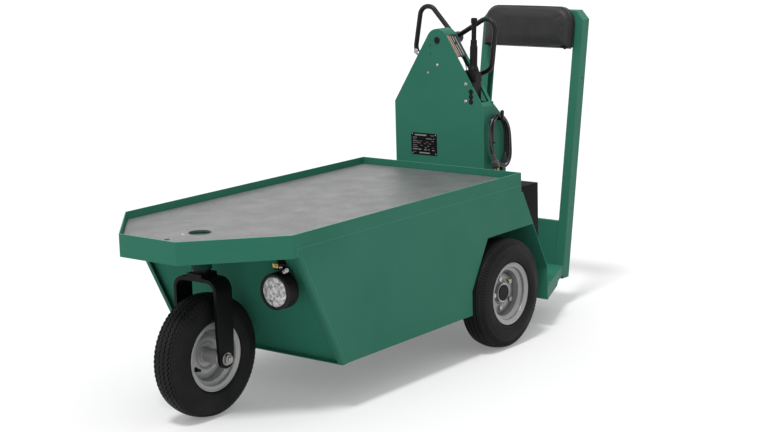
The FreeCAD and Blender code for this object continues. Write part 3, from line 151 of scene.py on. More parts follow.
lamp_data = bpy.data.lights.new("studio_lamp", "SUN")
lamp_data.energy = LAMP_STRENGTH
lamp_data.angle = LAMP_SOFTNESS
studio_lamp = bpy.data.objects.new("studio_lamp", lamp_data)
studio_lamp.rotation_mode = "QUATERNION"
studio_lamp.rotation_quaternion = LAMP_FROM.to_track_quat("Z", "Y")
scene.collection.objects.link(studio_lamp)

camera_data = bpy.data.cameras.new("camera")
camera_data.lens = LENS
camera_data.sensor_width = 36.0
camera_data.clip_start = 0.1
camera_data.clip_end = 300.0
camera = bpy.data.objects.new("camera", camera_data)
ahead = (LOOKED_AT - EYE).normalized()
right = ahead.cross(Vector((0, 0, 1))).normalized()
rolled_right = right * math.cos(CAMERA_ROLL) + right.cross(ahead) * math.sin(CAMERA_ROLL)
rolled_up = rolled_right.cross(ahead)
camera_axes = Matrix((rolled_right, rolled_up, -ahead)).transposed().to_4x4()
camera.matrix_world = Matrix.Translation(EYE) @ camera_axes
scene.collection.objects.link(camera)
scene.camera = camera

# ------------------------------------------------------------------ deck tray
# A pressed steel tray in green powder coat, open at the top with an upright rim, and a grey
# rubber mat glued to its floor. The steering head's access hole goes through both.
GREEN = (0.029, 0.160, 0.108, 1)
GREEN_SHADE = (0.024, 0.146, 0.097, 1)
# GREEN_HIGHLIGHT is the green of a lit edge or top: a painted highlight, lighter than the paint itself.
GREEN_HIGHLIGHT = (0.100, 0.350, 0.236, 1)
# A slightly darker patch tone of that painted highlight.
GREEN_HIGHLIGHT_PATCH = (0.085, 0.320, 0.212, 1)


def start_group(name, inputs, outputs):
    """A shared surface effect, with named inputs and outputs."""
    tree = bpy.data.node_groups.new(name, "ShaderNodeTree")
    for label, value in inputs:
        kind = "NodeSocketFloat" if isinstance(value, float) else "NodeSocketColor"
        tree.interface.new_socket(name=label, in_out="INPUT", socket_type=kind).default_value = value
    for label, kind in outputs:
        tree.interface.new_socket(name=label, in_out="OUTPUT", socket_type="NodeSocket" + kind)
    return tree, tree.nodes.new("NodeGroupInput").outputs, tree.nodes.new("NodeGroupOutput").inputs


def eased_edges():
    """Rounds the sheet's sharp edges in the light and finds them for edge wear and a painted edge
    highlight.
    """
    tree, given, result = start_group("eased_edges", [("Radius", 0.001)],
                                      [("Normal", "Vector"), ("Edge", "Float")])
    rounded = put(tree, "Bevel", {"samples": 4}, Radius=given["Radius"])
    flat = put(tree, "NewGeometry")
    along = put(tree, "VectorMath", {"operation": "DOT_PRODUCT"},
                [rounded.outputs[0], flat.outputs["Normal"]])
    edge = put(tree, "MapRange", inputs=[along.outputs["Value"], 0.995, 0.80, 0.0, 1.0])
    tree.links.new(rounded.outputs[0], result["Normal"])
    tree.links.new(edge.outputs[0], result["Edge"])
    return tree


def surface_grain():
    """Fine bumps and broad uneven patches, both fixed to the piece."""
    tree, given, result = start_group("surface_grain", [("Grain Scale", 900.0), ("Patch Scale", 3.0)],
                                      [("Grain", "Float"), ("Patch", "Float"), ("Specks", "Float")])
    place = put(tree, "TexCoord").outputs["Object"]
    grain = put(tree, "TexNoise", Vector=place, Scale=given["Grain Scale"], Detail=3.0, Roughness=0.6)
    patch = put(tree, "TexNoise", Vector=place, Scale=given["Patch Scale"], Detail=4.0, Roughness=0.55)
    evened = put(tree, "MapRange", inputs=[patch.outputs["Fac"], 0.35, 0.65, 0.0, 1.0])
    specks = put(tree, "TexNoise", Vector=place, Scale=given["Grain Scale"], Detail=1.0, Roughness=0.5)
    picked = put(tree, "MapRange", inputs=[specks.outputs["Fac"], 0.60, 0.72, 0.0, 1.0])
    tree.links.new(grain.outputs["Fac"], result["Grain"])
    tree.links.new(evened.outputs[0], result["Patch"])
    tree.links.new(picked.outputs[0], result["Specks"])
    return tree


EDGES = eased_edges()
GRAIN = surface_grain()


def coated(name, colour, shade, edge_colour, edge_wear_and_highlight=0.5, edge_radius=0.0012, grain_scale=700.0,
           grain_depth=0.00006, roughness=(0.38, 0.48), specular=0.35, metallic=0.0, patch_scale=3.0,
           speckle=0.0):
    """A finish with uneven patches, fine bumps, edges that catch the light, and a lighter edge colour
    painted on as wear and highlight.
    """
    finish = bpy.data.materials.new(name)
    finish.use_nodes = True
    tree = finish.node_tree
    shader = tree.nodes["Principled BSDF"]
    edges = put(tree, "Group", {"node_tree": EDGES}, Radius=edge_radius)
    grain = put(tree, "Group", {"node_tree": GRAIN}, Grain_Scale=grain_scale, Patch_Scale=patch_scale)
    body = mix_colour(tree, grain.outputs["Patch"], colour, shade)
    if speckle:
        body = mix_colour(tree, product(tree, grain.outputs["Specks"], speckle), body, edge_colour)
    # The edge colour is painted along every edge: partly wear, partly a painted highlight where light
    # catches the edge.
    worn_and_lit_edges = product(tree, edges.outputs["Edge"], edge_wear_and_highlight)
    tree.links.new(mix_colour(tree, worn_and_lit_edges, body, edge_colour), shader.inputs["Base Color"])
    rough = put(tree, "MapRange", inputs=[grain.outputs["Patch"], 0.0, 1.0, roughness[0], roughness[1]])
    tree.links.new(rough.outputs[0], shader.inputs["Roughness"])
    bump = put(tree, "Bump", Height=grain.outputs["Grain"], Normal=edges.outputs["Normal"],
               Distance=grain_depth)
    bump.inputs["Strength"].default_value = 1.0
    tree.links.new(bump.outputs[0], shader.inputs["Normal"])
    shader.inputs["Specular IOR Level"].default_value = specular
    shader.inputs["Metallic"].default_value = metallic
    return finish


def dress(finish, *names):
    """Gives CAD pieces their finish."""
    for name in names:
        for material_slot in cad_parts[name].material_slots:
            material_slot.material = finish


green_paint = coated("green_paint", GREEN, GREEN_SHADE, GREEN_HIGHLIGHT, edge_wear_and_highlight=0.8, edge_radius=0.002,
                     roughness=(0.46, 0.56), specular=0.12)
rim_low, rim_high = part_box("deck_rim")
DECK_FRONT = rim_low.y
DECK_REAR = rim_high.y
RIM_TOP = rim_high.z
RIM_FOOT = rim_low.z
DECK_HALF = rim_high.x
PLATE = 0.003
BEND_RADIUS = 0.010
NOSE_HALF = 0.125
CORNER_BACK = 0.264
PANEL_FOOT_BACK = 0.488
SEAM_HEIGHT = RIM_TOP - 0.048
BODY_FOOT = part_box("side_panel_left")[0].z
FLOOR_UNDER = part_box("deck_floor")[0].z
NOSE_SLOPE = (PANEL_FOOT_BACK - CORNER_BACK) / (FLOOR_UNDER - BODY_FOOT)


def kept(name, form, finish, body="chassis", smooth=None):
    """Turns a bmesh into a piece that rides on a body, smooth up to an angle in degrees."""
    bmesh.ops.recalc_face_normals(form, faces=form.faces)
    mesh = bpy.data.meshes.new(name)
    form.to_mesh(mesh)
    form.free()
    if smooth is not None:
        mesh.shade_smooth()
        mesh.set_sharp_from_angle(angle=math.radians(smooth))
    mesh.materials.append(finish)
    piece = bpy.data.objects.new(name, mesh)
    scene.collection.objects.link(piece)
    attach(piece, body)
    return piece


def walled(form, rings):
    """Adds the faces between each ring of points and the next; all have as many points."""
    for near, far in zip(rings, rings[1:]):
        for index in range(len(near)):
            after = (index + 1) % len(near)
            form.faces.new((near[index], near[after], far[after], far[index]))


def prism(form, near, far):
    """Adds a closed solid between two outlines with the same number of corners."""
    ends = [[form.verts.new(spot) for spot in outline] for outline in (near, far)]
    form.faces.new(ends[0])
    form.faces.new(ends[1])
    walled(form, ends)


def bend(before, corner, after, radius, steps=5):
    """The points of one sheet bend, from one straight run to the next."""
    corner = Vector(corner)
    back = (Vector(before) - corner).normalized()
    ahead = (Vector(after) - corner).normalized()
    half = back.angle(ahead) / 2
    middle = corner + (back + ahead).normalized() * (radius / math.sin(half))
    first = corner + back * (radius / math.tan(half))
    last = corner + ahead * (radius / math.tan(half))
    points = []
    for step in range(steps + 1):
        spot = first.lerp(last, step / steps) - middle
        points.append(tuple(middle + spot.normalized() * radius))
    return points


def nose_edge(height):
    """How far back the body's slanted front edge lies at one height."""
    return DECK_FRONT + CORNER_BACK + NOSE_SLOPE * (FLOOR_UNDER - height)


def nose_plan(inset, radius):
    """The deck's front end seen from above, drawn in by a margin, from one side to the other."""
    cut = math.atan2(DECK_HALF - NOSE_HALF, CORNER_BACK)
    nose = (NOSE_HALF - inset * math.tan((math.pi / 2 - cut) / 2), DECK_FRONT + inset)
    corner = (DECK_HALF - inset, DECK_FRONT + CORNER_BACK + inset * math.tan(cut / 2))
    end = (DECK_HALF - inset, nose_edge(RIM_FOOT))
    half = bend((-nose[0], nose[1]), nose, corner, radius) + bend(nose, corner, end, radius) + [end]
    return [(-x, y) for x, y in reversed(half)] + half


rim = bmesh.new()
nose_band = nose_plan(0.0, BEND_RADIUS) + list(reversed(nose_plan(PLATE, BEND_RADIUS - PLATE)))
tail_band = [(DECK_HALF, DECK_REAR - PLATE), (DECK_HALF, DECK_REAR), (-DECK_HALF, DECK_REAR),
             (-DECK_HALF, DECK_REAR - PLATE)]
bands = [(nose_band, RIM_FOOT)]
for sign in (1, -1):
    face, back = sign * DECK_HALF, sign * (DECK_HALF - PLATE)
    side_band = [(face, nose_edge(RIM_FOOT)), (face, DECK_REAR - PLATE), (back, DECK_REAR - PLATE),
                 (back, nose_edge(RIM_FOOT))]
    bands.append((side_band, SEAM_HEIGHT))
for band, foot in bands + [(tail_band, RIM_FOOT)]:
    prism(rim, [(x, y, foot) for x, y in band], [(x, y, RIM_TOP) for x, y in band])
deck_band = kept("deck_band", rim, green_paint, smooth=40)
# The rim's upward-facing top faces get a lighter green of their own: a painted highlight where light from
# above falls on them.
lit_top_green = coated("lit_top_green", GREEN_HIGHLIGHT, GREEN_HIGHLIGHT_PATCH, GREEN_HIGHLIGHT, roughness=(0.40, 0.48), specular=0.3)
deck_band.data.materials.append(lit_top_green)
for face in deck_band.data.polygons:
    if face.normal.z > 0.9 and face.center.z > RIM_TOP - 0.001:
        face.material_index = 1
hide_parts("deck_rim")
dress(green_paint, "deck_floor", "deck_crossmembers")

# ------------------------------------------------------------------ deck mat
# A flat mat of grained grey rubber, glued down inside the rim and cut round the access hole,
# whose edge has a rubber lip. A screw and a plug hold it ahead of the hole, and the bare top
# of the kingpin lies at the bottom of the hole.
mat_rubber = coated("mat_rubber", grey(0.135), grey(0.096), grey(0.34), edge_wear_and_highlight=0.3, grain_scale=300.0,
                    grain_depth=0.0014, roughness=(0.38, 0.44), specular=1.0, patch_scale=11.0, speckle=1.0)
dress(mat_rubber, "deck_mat")
MAT_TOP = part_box("deck_mat")[1].z
HOLE_BACK = DECK_FRONT + 0.237
bare_steel = coated("bare_steel", (0.60, 0.60, 0.59, 1), (0.48, 0.48, 0.47, 1), grey(0.8),
                    grain_scale=900.0, grain_depth=0.00003, roughness=(0.24, 0.38), metallic=1.0)


def hoop(form, middle, side, other, radius, steps):
    """Adds the points of one circle, or its middle alone where the radius is nought."""
    points = []
    for step in range(steps if radius > 0 else 1):
        angle = 2 * math.pi * step / steps
        points.append(form.verts.new(middle + (side * math.cos(angle) + other * math.sin(angle)) * radius))
    return points


def turned(form, profile, centre, axis, steps=48):
    """Adds a lathe-turned solid: the profile is a list of (along the axis, radius)."""
    axis = Vector(axis).normalized()
    side = axis.orthogonal().normalized()
    other = axis.cross(side)
    rings = [hoop(form, Vector(centre) + axis * along, side, other, radius, steps)
             for along, radius in profile]
    for near, far in zip(rings, rings[1:]):
        for step in range(steps):
            after = (step + 1) % steps
            corners = [near[step % len(near)], near[after % len(near)], far[after % len(far)],
                       far[step % len(far)]]
            corners = [corner for index, corner in enumerate(corners) if corner not in corners[:index]]
            form.faces.new(corners)


def closed_ring(form, profile, centre, axis, steps=64):
    """Adds a turned ring whose profile is a closed loop of (along the axis, radius)."""
    turned(form, profile + profile[:1], centre, axis, steps)
    bmesh.ops.remove_doubles(form, verts=form.verts, dist=0.000001)


def lathed(name, profile, centre, axis, finish, steps=48, body="chassis", smooth=35):
    """Makes a piece of one lathe-turned solid."""
    form = bmesh.new()
    turned(form, profile, centre, axis, steps)
    return kept(name, form, finish, body, smooth)


UP = (0, 0, 1)
HOLE = (0, HOLE_BACK, MAT_TOP)
SCREW = (-0.027, DECK_FRONT + 0.187, MAT_TOP)
PLUG = (-0.015, DECK_FRONT + 0.104, MAT_TOP)
lathed("mat_screw", [(0.0, 0.0055), (0.0007, 0.0050), (0.0010, 0.0032), (0.0004, 0.0020), (0.0003, 0.0)],
       SCREW, UP, bare_steel, 24, smooth=30)
plug_and_hole_shade_black = coated("plug_and_hole_shade_black", grey(0.012), grey(0.02), grey(0.05), roughness=(0.5, 0.7), specular=0.3)
lathed("mat_plug", [(0.0, 0.009), (0.0006, 0.0085), (0.0006, 0.0)], PLUG, UP, plug_and_hole_shade_black, 24, smooth=30)
# A thin dark disc closes the hole under the kingpin's top: painted shade, standing in for the hole's dark
# inside.
lathed("hole_shade", [(-0.0098, 0.0), (-0.0098, 0.0366), (-0.0090, 0.0366), (-0.0090, 0.0)], HOLE, UP,
       plug_and_hole_shade_black, smooth=40)
lathed("hole_boss", [(-0.0090, 0.0235), (-0.0082, 0.0230), (-0.0080, 0.0100), (-0.0086, 0.0080),
                     (-0.0086, 0.0)], HOLE, UP, bare_steel, smooth=40)
ring_rubber = coated("ring_rubber", grey(0.16), grey(0.12), grey(0.3), roughness=(0.35, 0.5), specular=0.5)
hole_ring = bmesh.new()
closed_ring(hole_ring, [(-0.002, 0.0368), (0.0008, 0.0368), (0.0012, 0.0374), (0.0011, 0.0392),
                        (0.0, 0.0396), (-0.0005, 0.0378)], HOLE, UP)
kept("hole_ring", hole_ring, ring_rubber, smooth=40)

# ------------------------------------------------------------------ body sides and nose
# Flat green sheets welded under the deck rim and ground flush with it. Each side's slanted
# front edge is folded inwards, and the nose panel closes the body between the folds.
def greens(share):
    """The green, lightened or darkened as painted light or shade."""
    return tuple(share * part for part in GREEN[:3]) + (1,)


# The nose panel and the bulkhead get a lighter copy of the green: painted light, lifting them out of the
# deck's shade.
nose_painted_light = coated("nose_painted_light", greens(1.22), greens(1.16), GREEN_HIGHLIGHT, roughness=(0.55, 0.65),
                    specular=0.03)
dress(nose_painted_light, "nose_panel", "rear_bulkhead")
dress(green_paint, "bottom_pan", "axle_hangers")
FOLD_RADIUS = 0.006
FOLD_LAP = 0.02
AXLE_HEIGHT = 0.2055
ARCH_GAP = 0.007
ARCH_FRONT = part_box("rear_tyre_left")[0].y - ARCH_GAP
ARCH_SHOULDER = ARCH_FRONT + ARCH_GAP + AXLE_HEIGHT - 0.109
ARCH_BEND = 0.256
ARCH_TOP = 0.433
TAIL_SLOPE = 0.5253
BULKHEAD_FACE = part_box("rear_bulkhead")[1].y - 0.1699
for side_name, sign in (("left", 1), ("right", -1)):
    side_sheet = bmesh.new()
    fold_plan = [(0.353, 0.0), (0.353, 0.0034), (0.367, 0.0034)]
    fold_plan += bend((0.353, 0.0034), (0.370, 0.0034), (0.370, FOLD_LAP), FOLD_RADIUS - PLATE)
    fold_plan += [(0.370, FOLD_LAP), (0.373, FOLD_LAP)]
    fold_plan += bend((0.373, FOLD_LAP), (0.373, 0.0), (0.353, 0.0), FOLD_RADIUS)
    low_ring = [(sign * x, y + nose_edge(BODY_FOOT), BODY_FOOT) for x, y in fold_plan]
    high_ring = [(sign * x, y + nose_edge(RIM_FOOT), RIM_FOOT) for x, y in fold_plan]
    prism(side_sheet, low_ring, high_ring)
    side_view = [
        (nose_edge(RIM_FOOT), RIM_FOOT), (nose_edge(RIM_FOOT), SEAM_HEIGHT),
        (DECK_REAR - PLATE, SEAM_HEIGHT), (DECK_REAR - PLATE, RIM_FOOT),
        (BULKHEAD_FACE, RIM_FOOT), (BULKHEAD_FACE + (RIM_FOOT - ARCH_TOP) * TAIL_SLOPE, ARCH_TOP),
        (ARCH_SHOULDER, ARCH_TOP), (ARCH_FRONT, ARCH_BEND), (ARCH_FRONT, BODY_FOOT),
        (nose_edge(BODY_FOOT) + FOLD_LAP, BODY_FOOT), (nose_edge(RIM_FOOT) + FOLD_LAP, RIM_FOOT),
    ]
    back, face = [[(sign * x, y, z) for y, z in side_view] for x in (DECK_HALF - PLATE, DECK_HALF)]
    prism(side_sheet, back, face)
    body_side = kept("body_side_" + side_name, side_sheet, green_paint, smooth=40)
    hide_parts("side_panel_" + side_name)

# ------------------------------------------------------------------ steering head and fork
# The kingpin tube hangs under the deck on two gussets. The fork is one flat steel bar bent
# over the wheel, with a crown block on top, all in black enamel; the axle's nuts are zinc plated.
# The kingpin tube gets a much darker copy of the green: painted shade, as it hangs in the shade under the
# deck.
head_painted_shade = coated("head_painted_shade", greens(0.34), greens(0.28), GREEN, roughness=(0.5, 0.6), specular=0.10)
dress(head_painted_shade, "steering_head")
black_enamel = coated("black_enamel", grey(0.0045), grey(0.0035), grey(0.022), edge_wear_and_highlight=0.6,
                      grain_scale=1100.0, grain_depth=0.00005, roughness=(0.34, 0.46), specular=0.12)
dress(black_enamel, "fork", "kingpin")
zinc_plate = coated("zinc_plate", (0.46, 0.46, 0.45, 1), (0.32, 0.32, 0.31, 1), (0.8, 0.8, 0.78, 1),
                    grain_scale=700.0, grain_depth=0.00004, roughness=(0.18, 0.34), metallic=1.0)
dress(zinc_plate, "fork_axle")
FORWARDS = (0, -1, 0)
WHEEL_BACK = HOLE_BACK
fork_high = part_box("fork")[1]
for side_name, sign in (("left", 1), ("right", -1)):
    fork_face = (sign * fork_high.x, WHEEL_BACK, AXLE_HEIGHT)
    washer = bmesh.new()
    closed_ring(washer, [(0.0002, 0.0105), (0.0024, 0.0105), (0.0030, 0.0115), (0.0030, 0.0205),
                         (0.0022, 0.0215), (0.0002, 0.0215)], fork_face, (sign, 0, 0), 48)
    turned(washer, [(0.0123, 0.0165), (0.0132, 0.0150), (0.0132, 0.0101)], fork_face, (sign, 0, 0), 48)
    turned(washer, [(0.0179, 0.0098), (0.0188, 0.0086), (0.0188, 0.0024), (0.0178, 0.0)], fork_face,
           (sign, 0, 0), 32)
    kept("axle_washer_" + side_name, washer, zinc_plate, "fork", smooth=35)
crown_weld = bmesh.new()
WELD_HALF = 0.037
WELD_HEIGHT = fork_high.z - 0.013
WELD_BEADS = 30
for x in (0.032, -0.032):
    bead = [(x, WHEEL_BACK - WELD_HALF + 2 * WELD_HALF * step / WELD_BEADS, WELD_HEIGHT)
            for step in range(WELD_BEADS + 1)]
    for near, far in zip(bead, bead[1:]):
        turned(crown_weld, [(0.0, 0.0022), (0.0012, 0.0036), (0.0025, 0.0022)], near,
               Vector(far) - Vector(near), 8)
kept("crown_weld", crown_weld, black_enamel, "fork", smooth=60)
nipple_profile = [(0.0, 0.0052), (0.005, 0.0052), (0.006, 0.0034), (0.010, 0.0034), (0.0115, 0.0042),
                  (0.014, 0.0030), (0.0148, 0.0)]
lathed("grease_nipple", nipple_profile, (0.0, WHEEL_BACK - 0.033, 0.535), FORWARDS, zinc_plate, 16)

# ------------------------------------------------------------------ tyres
# Three pneumatic rubber tyres. The steered one has a zigzag rib tread; the driven ones have
# straight ribs with short cuts across their shoulders. Moulded rings run round every side wall.
tyre_rubber = coated("tyre_rubber", (0.0088, 0.0088, 0.0090, 1), (0.0060, 0.0060, 0.0061, 1), grey(0.030),
                     edge_wear_and_highlight=0.65, grain_scale=520.0, grain_depth=0.0002, roughness=(0.56, 0.68),
                     specular=0.16, patch_scale=9.0)
TYRE_WALL = [(0.0400, 0.1935), (0.0435, 0.1890), (0.0465, 0.1835), (0.0490, 0.1780), (0.0498, 0.1762),
             (0.0509, 0.1756), (0.0513, 0.1738), (0.0508, 0.1725), (0.0518, 0.1690), (0.0531, 0.1630),
             (0.0541, 0.1590), (0.0548, 0.1520), (0.0546, 0.1440), (0.0541, 0.1400), (0.0549, 0.1392),
             (0.0548, 0.1372), (0.0538, 0.1364), (0.0531, 0.1320), (0.0528, 0.1290), (0.0535, 0.1275),
             (0.0524, 0.1255), (0.0513, 0.1240), (0.0495, 0.1210), (0.0470, 0.1190), (0.0434, 0.1176),
             (0.0432, 0.1100)]
TYRE_RADIUS = AXLE_HEIGHT
SHOULDER_CUTS = (0.0052, 0.0050, 0.0044, 0.0024)
SHOULDER_FROM = 0.0370
CROWN_EDGE = 0.0385
CROWN_HALF = 0.036
CROWN_DROP = 0.0070
CROWN_FLATTER = 0.86
WALL_HALF = 0.055
WALL_FOOT = 0.120
WALL_RISE = 0.030
GROOVES = (-0.0260, -0.0090, 0.0090, 0.0260)
GROOVE_HALF = 0.0023
GROOVE_DEPTH = 0.0058
RIB_MIDDLE = 0.0085
ZIGZAG_FULL = 0.030
ZIGZAG_HALF = 0.0375
SHOULDER_GROOVE = 0.0350
SHALLOW_HALF = 0.0014
SHALLOW_DEPTH = 0.0030


def treaded_tyre(centre_x, back, zigzag, pitches, spread):
    """A whole tyre: a crown with four deep grooves and two shallow ones, then walls and beads."""
    shallow = [(-SHALLOW_HALF, 0.0), (0.0, SHALLOW_DEPTH), (SHALLOW_HALF, 0.0)]
    columns = [(-CROWN_EDGE, 0.0)] + [(-SHOULDER_GROOVE + across, depth) for across, depth in shallow]
    for groove in GROOVES:
        columns += [(groove - GROOVE_HALF, 0.0), (groove - GROOVE_HALF * 0.6, GROOVE_DEPTH),
                    (groove + GROOVE_HALF * 0.6, GROOVE_DEPTH), (groove + GROOVE_HALF, 0.0)]
        if groove != GROOVES[-1]:
            columns.append((groove + RIB_MIDDLE, 0.0))
    columns += [(SHOULDER_GROOVE + across, depth) for across, depth in shallow] + [(CROWN_EDGE, 0.0)]
    shares = (0.0, 0.25, 0.5, 0.75) if zigzag else (0.0, 0.45, 0.52, 0.93)
    form = bmesh.new()
    rings = []
    for pitch in range(pitches):
        for share in shares:
            angle = 2 * math.pi * (pitch + share) / pitches
            shift = zigzag * (1 - 4 * abs(share - 0.5))
            if zigzag:
                cut = 0.42 if share in (0.25, 0.5) else 0.0
            else:
                cut = 1.0 if share > 0.5 else 0.0
            wall = []
            for index, (across, radius) in enumerate(TYRE_WALL):
                wider = across + spread * min(max((radius - WALL_FOOT) / WALL_RISE, 0.0), 1.0)
                trimmed = SHOULDER_CUTS[index] if index < len(SHOULDER_CUTS) else 0.0
                wall.append((wider, radius - cut * trimmed))
            ring = [(-across, radius) for across, radius in reversed(wall)]
            for across, depth in columns:
                shoulder = cut * SHOULDER_CUTS[0] if abs(across) > SHOULDER_FROM else 0.0
                swing = 1.0 if abs(across) < ZIGZAG_FULL else 0.5 if abs(across) < ZIGZAG_HALF else 0.0
                place = across * (1 + spread / WALL_HALF) + shift * swing
                crown = TYRE_RADIUS - CROWN_DROP * (place / CROWN_HALF) ** 2 * CROWN_FLATTER
                ring.append((place, crown - depth - shoulder))
            ring += wall
            level, rise = math.cos(angle), math.sin(angle)
            spots = [(centre_x + across, back + radius * level, AXLE_HEIGHT + radius * rise)
                     for across, radius in ring]
            rings.append([form.verts.new(spot) for spot in spots])
    walled(form, rings + rings[:1])
    return form


front_tread = kept("front_tread", treaded_tyre(0.0, WHEEL_BACK, 0.0034, 76, 0.0027), tyre_rubber,
                   "front_wheel", smooth=28)
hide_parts("front_tyre")
driven_low, driven_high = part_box("rear_tyre_left")
DRIVEN_BACK = (driven_low.y + driven_high.y) / 2
DRIVEN_ACROSS = (driven_low.x + driven_high.x) / 2
for side_name, sign in (("left", 1), ("right", -1)):
    tyre = treaded_tyre(sign * DRIVEN_ACROSS, DRIVEN_BACK, 0.0, 108, 0.0002)
    driven_tread = kept("driven_tread_" + side_name, tyre, tyre_rubber, "rear_wheel_" + side_name,
                        smooth=28)
    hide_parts("rear_tyre_" + side_name)

# ------------------------------------------------------------------ wheels
# Pressed steel disc wheels in silver enamel. Their flanges are rolled over into round lips,
# and a valve stands out of each: black rubber in front, brass behind.
SILVER_GRAIN = dict(edge_wear_and_highlight=0.8, edge_radius=0.002, grain_scale=900.0, specular=0.6, patch_scale=7.0)
silver_paint = coated("silver_paint", grey(0.30), grey(0.24), grey(0.70), roughness=(0.26, 0.36),
                      metallic=0.35, **SILVER_GRAIN)
# The front wheel gets a lighter copy of the silver: painted light, as it sits in the shade of the fork.
front_silver_painted_light = coated("front_silver_painted_light", grey(0.42), grey(0.34), grey(0.90), roughness=(0.30, 0.40),
                      metallic=0.2, **SILVER_GRAIN)
dress(front_silver_painted_light, "front_hub")
RIM_INNER = [(0.0200, 0.0850), (0.0232, 0.0860), (0.0250, 0.0900), (0.0262, 0.0950), (0.0280, 0.0970),
             (0.0296, 0.0990), (0.0316, 0.0984), (0.0390, 0.0990), (0.0412, 0.0998), (0.0424, 0.1020),
             (0.0430, 0.1062), (0.0440, 0.1100), (0.0453, 0.1118), (0.0468, 0.1128), (0.0475, 0.1140),
             (0.0474, 0.1153), (0.0464, 0.1162), (0.0450, 0.1160), (0.0440, 0.1148), (0.0436, 0.1130)]
RIM_OUTER = [(0.0420, 0.1080), (0.0400, 0.1045), (0.0380, 0.1035), (0.0260, 0.1025), (0.0180, 0.0890)]
DISC = [(0.0005, 0.0400), (0.0035, 0.0432), (0.0066, 0.0478), (0.0075, 0.0510), (0.0075, 0.0610),
        (0.0066, 0.0645), (0.0002, 0.0778), (-0.0020, 0.0822), (-0.0050, 0.0851), (-0.0215, 0.0851),
        (-0.0215, 0.0810), (-0.0075, 0.0810), (-0.0045, 0.0750), (0.0035, 0.0600), (0.0035, 0.0520),
        (-0.0035, 0.0420)]
SLOT_CIRCLE = 0.076
SLOT_HALF = 0.0055
SLOT_REACH = 0.0115
ACROSS = (1, 0, 0)


def block(form, centre, along, across, out, length, width, height, corner=0.0):
    """Adds a flat plate of any slant, standing out of a surface, with rounded corners."""
    half_length, half_width = length / 2, width / 2
    if corner:
        outline = []
        for middle_x, middle_y, first in ((1, 1, 0), (-1, 1, 90), (-1, -1, 180), (1, -1, 270)):
            for step in range(5):
                angle = math.radians(first + 22.5 * step)
                outline.append((middle_x * (half_length - corner) + corner * math.cos(angle),
                                middle_y * (half_width - corner) + corner * math.sin(angle)))
    else:
        outline = [(half_length, half_width), (-half_length, half_width), (-half_length, -half_width),
                   (half_length, -half_width)]
    low = [Vector(centre) + Vector(along) * u + Vector(across) * v for u, v in outline]
    prism(form, low, [spot + Vector(out) * height for spot in low])


def applied(piece, kind, **settings):
    """Puts one modifier on a piece and turns its result into the piece's own mesh."""
    change = piece.modifiers.new(kind.lower(), kind)
    for key, value in settings.items():
        setattr(change, key, value)
    ready = bpy.data.meshes.new_from_object(piece.evaluated_get(bpy.context.evaluated_depsgraph_get()))
    piece.modifiers.clear()
    piece.data = ready


brass = coated("brass", (0.60, 0.42, 0.14, 1), (0.45, 0.30, 0.09, 1), (0.85, 0.66, 0.30, 1),
               roughness=(0.22, 0.36), metallic=1.0)
black_rubber = coated("black_rubber", grey(0.0075), grey(0.005), grey(0.02), grain_scale=1400.0,
                      roughness=(0.5, 0.62), specular=0.2)
for wheel, centre_x, back, side, pilot, slot_turn, paint in (
        ("front", 0.0, WHEEL_BACK, 1, 0.0283, 90.0, front_silver_painted_light),
        ("rear_left", DRIVEN_ACROSS, DRIVEN_BACK, 1, 0.0363, 58.0, silver_paint),
        ("rear_right", -DRIVEN_ACROSS, DRIVEN_BACK, -1, 0.0363, 58.0, silver_paint)):
    body = "front_wheel" if wheel == "front" else "rear_wheel" + wheel[4:]
    node = "front_rim" if wheel == "front" else "rear_rim" + wheel[4:]
    hub_place = Vector((centre_x, back, AXLE_HEIGHT))
    drum = bmesh.new()
    half_loop = RIM_INNER + RIM_OUTER
    closed_ring(drum, half_loop + [(-across, radius) for across, radius in reversed(half_loop)], hub_place,
                ACROSS, 128)
    rim_drum = kept(wheel + "_rim_drum", drum, paint, body, smooth=40)
    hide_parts(node)
    turn = math.radians(slot_turn)
    outwards = Vector((0, math.cos(turn), math.sin(turn)))
    cutter = bmesh.new()
    block(cutter, hub_place + outwards * SLOT_CIRCLE - Vector((0.030, 0, 0)),
          Vector(ACROSS).cross(outwards), outwards, ACROSS, 2 * (SLOT_HALF + SLOT_REACH), 2 * SLOT_HALF,
          0.060, SLOT_HALF * 0.98)
    slot_cutter = kept("slot_cutter", cutter, paint, body)
    dish = bmesh.new()
    disc_loop = [(-0.0035, pilot), (0.0005, pilot)] + DISC
    closed_ring(dish, [(side * along, radius) for along, radius in disc_loop], hub_place, ACROSS, 96)
    wheel_disc = kept(wheel + "_disc", dish, paint, body)
    applied(wheel_disc, "BOOLEAN", operation="DIFFERENCE", solver="EXACT", object=slot_cutter)
    wheel_disc.data.shade_smooth()
    wheel_disc.data.set_sharp_from_angle(angle=math.radians(40))
    bpy.data.objects.remove(slot_cutter)


def on_wheel(x, back, circle, turn):
    """A spot on a wheel's face: so far from its centre, at an angle up from behind."""
    angle = math.radians(turn)
    return x, back + circle * math.cos(angle), AXLE_HEIGHT + circle * math.sin(angle)


